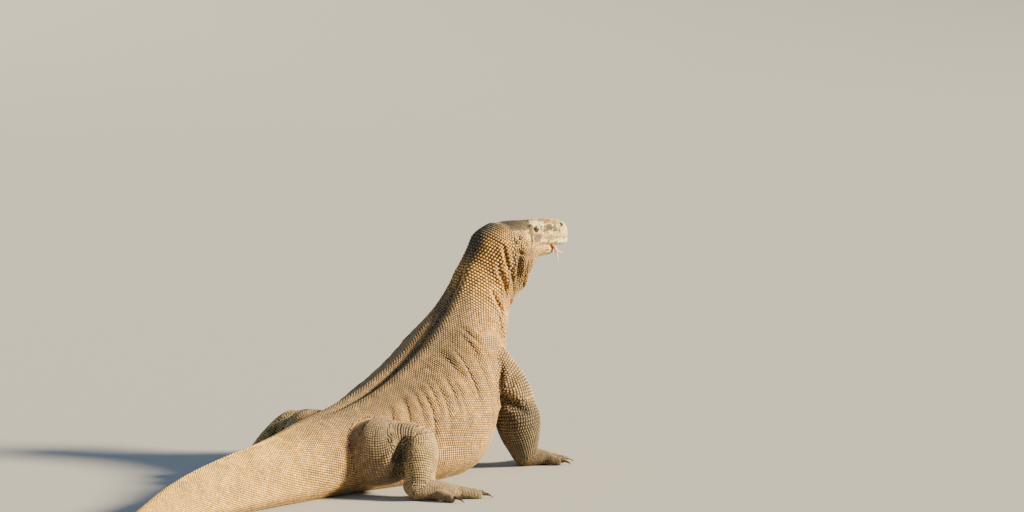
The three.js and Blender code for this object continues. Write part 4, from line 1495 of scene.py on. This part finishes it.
CLAW_ROOT, CLAW_BACK = 2 * MM, 8 * MM  # depth of the root, and how far it goes back
TONGUE_LOW, TONGUE_ROOT, THICKER = 0.515, 0.54, 2.2 * MM  # heights, and the growth at the root


def root_claw(part, node):
    """Draws the root of a claw back into its toe."""
    leg, number = node.removeprefix("claw_").rsplit("_", 1)
    toe = next(form for form in FORMS if form["name"] == f"{leg}_toe_{number}")
    ring = np.linspace(0, 2 * math.pi, 9)[:-1]
    before, end = (toe["at"](np.full(8, s), ring).mean(axis=0)
                   for s in (toe["last"] - 1, toe["last"]))
    ahead = Vector(unit(end - before))
    along = [vert.co.dot(ahead) for vert in part.verts]
    for vert, t in zip(part.verts, along):
        if t < min(along) + CLAW_ROOT:
            vert.co -= ahead * CLAW_BACK


def thicken_tongue(part, node):
    for vert in part.verts:
        share = float(smoothstep(vert.co.z, TONGUE_LOW, TONGUE_ROOT))
        vert.co += vert.normal * share * THICKER


claws = [rounded(f"claws_{leg}", [f"claw_{leg}_{k}" for k in range(1, 6)], root_claw)
         for leg in ("fore_left", "fore_right", "hind_left", "hind_right")]
tongue = rounded("forked_tongue", ["tongue"], thicken_tongue)
flesh = [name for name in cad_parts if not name.startswith(("claw", "eye", "tongue"))]
mesh.shade_smooth()
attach(skin, "root")
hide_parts(*flesh)
print("the skin stands for", len(flesh), "nodes")

# %% [markdown]
# ## Writing materials
# A material is a recipe of nodes. A small class wraps a node's output, so that numbers can be
# added and multiplied as in any formula, and one method makes every other node: it takes the
# node's kind, its settings and the values or links of its inputs.

# %% A small language for shaders
class Wire:
    def __init__(self, recipe, socket):
        self.recipe, self.socket = recipe, socket

    def math(self, operation, first, second):
        return self.recipe.node("ShaderNodeMath", {"operation": operation}, {0: first, 1: second})

    def __add__(self, other):
        return self.math("ADD", self, other)

    def __radd__(self, other):
        return self.math("ADD", other, self)

    def __sub__(self, other):
        return self.math("SUBTRACT", self, other)

    def __rmul__(self, other):
        return self.math("MULTIPLY", other, self)

    def __truediv__(self, other):
        return self.math("DIVIDE", self, other)


class Recipe:
    def __init__(self, name):
        self.material = bpy.data.materials.new(name)
        self.material.use_nodes = True
        self.tree = self.material.node_tree
        self.surface = self.tree.nodes["Principled BSDF"]
        self.place = self.node("ShaderNodeTexCoord", {}, {}, "Object")

    def attribute(self, name, output):
        return self.node("ShaderNodeAttribute", {"attribute_name": name}, {}, output)

    def node(self, kind, settings, inputs, output=0):
        made = self.tree.nodes.new(kind)
        for key, value in settings.items():
            if key == "stops":
                ramp = made.color_ramp
                while len(ramp.elements) < len(value):
                    ramp.elements.new(0.5)
                for element, (spot, colour) in zip(ramp.elements, value):
                    element.position, element.color = spot, (*colour, 1)
            else:
                setattr(made, key, value)
        self.fill(made, inputs)
        return Wire(self, made.outputs[output])

    def fill(self, made, inputs):
        for key, value in inputs.items():
            if isinstance(value, Wire):
                self.tree.links.new(value.socket, made.inputs[key])
            else:
                made.inputs[key].default_value = value

    def noise(self, scale, detail=3.0, stretch=None):
        where = self.place
        if stretch:
            where = self.node("ShaderNodeMapping", {}, {"Vector": where, "Scale": stretch})
        return self.node("ShaderNodeTexNoise", {"noise_dimensions": "3D"},
                         {"Vector": where, "Scale": scale, "Detail": detail})

    def between(self, value, low, high):
        """Goes smoothly from 0 at the first bound to 1 at the second one."""
        return self.node("ShaderNodeMapRange", {"interpolation_type": "SMOOTHSTEP"},
                         {"Value": value, "From Min": low, "From Max": high})

    def mix(self, factor, one, other, blend="MIX"):
        return self.node("ShaderNodeMix", {"data_type": "RGBA", "blend_type": blend},
                         {0: factor, 6: one, 7: other}, 2)

    def bump(self, height, distance, strength=1.0):
        return self.node("ShaderNodeBump", {}, {"Height": height, "Distance": distance,
                                                "Strength": strength})

    def finish(self, **inputs):
        self.fill(self.surface, {key.replace("_", " "): value for key, value in inputs.items()})
        return self.material


def rgb(*srgb):
    return (*[float(c) for c in linear(*srgb)], 1.0)


# %% [markdown]
# ## Finish of the hide
# The colour, with its painted shade and highlights, comes from the painted attribute. Dust and
# wear break it up at two sizes, and the horny surface is slightly rough with a very fine grain.
# The skin between the scales takes the same attribute, but it is softer and has round granules of
# its own, each painted lighter on its dome and darker round its edge as painted highlight and
# shade.

# %% Hide
recipe = Recipe("scaly_hide")
painted = recipe.attribute("hide_colour", "Color")
patches = recipe.between(recipe.noise(22.0, 4.0), 0.35, 0.65)
grain = recipe.between(recipe.noise(520.0), 0.3, 0.7)
warm = recipe.mix(patches, (0.86, 0.84, 0.82, 1), (1.10, 1.06, 0.98, 1))
fine = recipe.mix(grain, (0.80, 0.78, 0.76, 1), (1.16, 1.16, 1.14, 1))
colour = recipe.mix(1.0, recipe.mix(1.0, painted, warm, "MULTIPLY"), fine, "MULTIPLY")
hide = recipe.finish(Base_Color=colour, Roughness=0.5 + 0.22 * patches, Specular_IOR_Level=0.4,
                     Normal=recipe.bump(recipe.noise(1400.0, 2.0), 0.00015, 0.6))
for piece in coats:
    piece.data.materials.append(hide)
print("hide on", len(coats), "coats")

# %% Skin between the scales
recipe = Recipe("granular_skin")
painted = recipe.attribute("hide_colour", "Color")
granules = recipe.node("ShaderNodeTexVoronoi", {"feature": "F1"},
                       {"Vector": recipe.place, "Scale": 620.0}, "Distance")
# Each granule is painted lighter on its dome and darker round its edge, as painted highlight and
# shade.
dome = recipe.between(granules, 0.65, 0.1)
shaded = recipe.mix(dome, (0.55, 0.52, 0.5, 1), (1.7, 1.65, 1.55, 1))
granular = recipe.finish(Base_Color=recipe.mix(1.0, painted, shaded, "MULTIPLY"), Roughness=0.7,
                         Normal=recipe.bump(dome, 0.0006, 0.8))
skin.data.materials.append(granular)
print("skin material:", granular.name)

# %% [markdown]
# ## Horn, eye and tongue
# Horn is nearly black with brown streaks along it. The eye has a black pupil, an amber iris with
# a darker rim, and a clear wet coat. The tongue is pink at its root and pale grey at its tips.

# %% Horn, eye and tongue
recipe = Recipe("claw_horn")
streak = recipe.between(recipe.noise(260.0, 4.0, (1.0, 1.0, 0.25)), 0.35, 0.7)
horn = recipe.finish(Base_Color=recipe.mix(streak, rgb(34, 27, 22), rgb(92, 76, 58)),
                     Roughness=0.3 + 0.25 * streak,
                     Normal=recipe.bump(streak, 0.0002, 0.5))
recipe = Recipe("wet_eye")
ring = recipe.attribute("from_pupil", "Fac") / 60.0  # degrees, as a share of 60
threads = recipe.noise(900.0)
rings = recipe.node("ShaderNodeValToRGB", {"stops": [
    (0.0, (0.003, 0.002, 0.002)), (0.31, (0.004, 0.003, 0.002)), (0.36, (0.085, 0.038, 0.012)),
    (0.52, (0.045, 0.02, 0.008)), (0.66, (0.012, 0.008, 0.006)), (1.0, (0.03, 0.02, 0.015))]},
    {"Fac": ring + 0.05 * (threads - 0.5)})
eye_finish = recipe.finish(Base_Color=rings, Roughness=0.12, Coat_Weight=1.0, Coat_Roughness=0.03)
recipe = Recipe("damp_tongue")
height = recipe.node("ShaderNodeSeparateXYZ", {}, {"Vector": recipe.place}, "Z")
towards_tip = recipe.between(height, 0.55, 0.525)
tongue_finish = recipe.finish(
    Base_Color=recipe.mix(towards_tip, rgb(196, 140, 122), rgb(206, 208, 214)),
    Roughness=0.28 + 0.15 * recipe.noise(300.0), Normal=recipe.bump(recipe.noise(700.0), 0.0002))
for piece in claws:
    piece.data.materials.append(horn)
for eye in eyes:
    eye.data.materials.append(eye_finish)
tongue.data.materials.append(tongue_finish)
print("materials:", len(bpy.data.materials))

# %% [markdown]
# ## Floor and light
# The floor is a wide pale dish: flat under the animal and rising far away, so that no horizon
# cuts the picture from any side. A warm sun lamp stands low at the animal's right, as the evening
# sun would, and the pale blue sky fills the shadows.

# %% Floor
DISH = [(0.0, 0.0), (30.0, 0.0), (38.0, 0.5), (44.0, 1.8), (48.0, 4.0), (50.0, 7.0)]  # radius, z
bm = bmesh.new()
verts = [bm.verts.new((r, 0, z)) for r, z in DISH]
for one, other in zip(verts, verts[1:]):
    bm.edges.new((one, other))
bmesh.ops.spin(bm, geom=list(bm.verts) + list(bm.edges), cent=(0, 0, 0), axis=(0, 0, 1),
               angle=2 * math.pi, steps=72, use_merge=True)
bmesh.ops.remove_doubles(bm, verts=bm.verts, dist=1e-4)
bmesh.ops.recalc_face_normals(bm, faces=bm.faces)
floor_mesh = mesh_of(bm, "floor")
floor_mesh.shade_smooth()
floor = linked("floor", floor_mesh)
recipe = Recipe("pale_floor")
floor_mesh.materials.append(recipe.finish(Base_Color=rgb(150, 152, 155), Roughness=0.9))
floor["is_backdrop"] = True
print("floor:", 2 * DISH[-1][0], "m wide")

# %% Lamp and sky
TOWARDS_SUN = Vector((0.527, -0.852, 0.43))
SUN_STRENGTH, SUN_WIDTH, SUN_COLOUR = 21.0, math.radians(9), (1.0, 0.80, 0.48)
SKY_STRENGTH, SKY_COLOUR = 0.54, (0.60, 0.78, 1.0, 1)
sun_data = bpy.data.lights.new("evening_lamp", "SUN")
sun_data.energy, sun_data.angle, sun_data.color = SUN_STRENGTH, SUN_WIDTH, SUN_COLOUR
sun = linked("evening_lamp", sun_data)
sun.rotation_euler = TOWARDS_SUN.to_track_quat("Z", "Y").to_euler()
sky = bpy.data.worlds.new("sky")
bpy.context.scene.world = sky
sky.use_nodes = True
backdrop = sky.node_tree.nodes["Background"].inputs
backdrop["Color"].default_value, backdrop["Strength"].default_value = SKY_COLOUR, SKY_STRENGTH
print("sun and sky:", SUN_STRENGTH, SKY_STRENGTH)

# %% Print both boxes and finish
visual_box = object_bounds()
cad_size, visual_size = (box[1] - box[0] for box in (cad_box, visual_box))
print("CAD box:", [round(v, 4) for v in cad_size], "visual:", [round(v, 4) for v in visual_size])
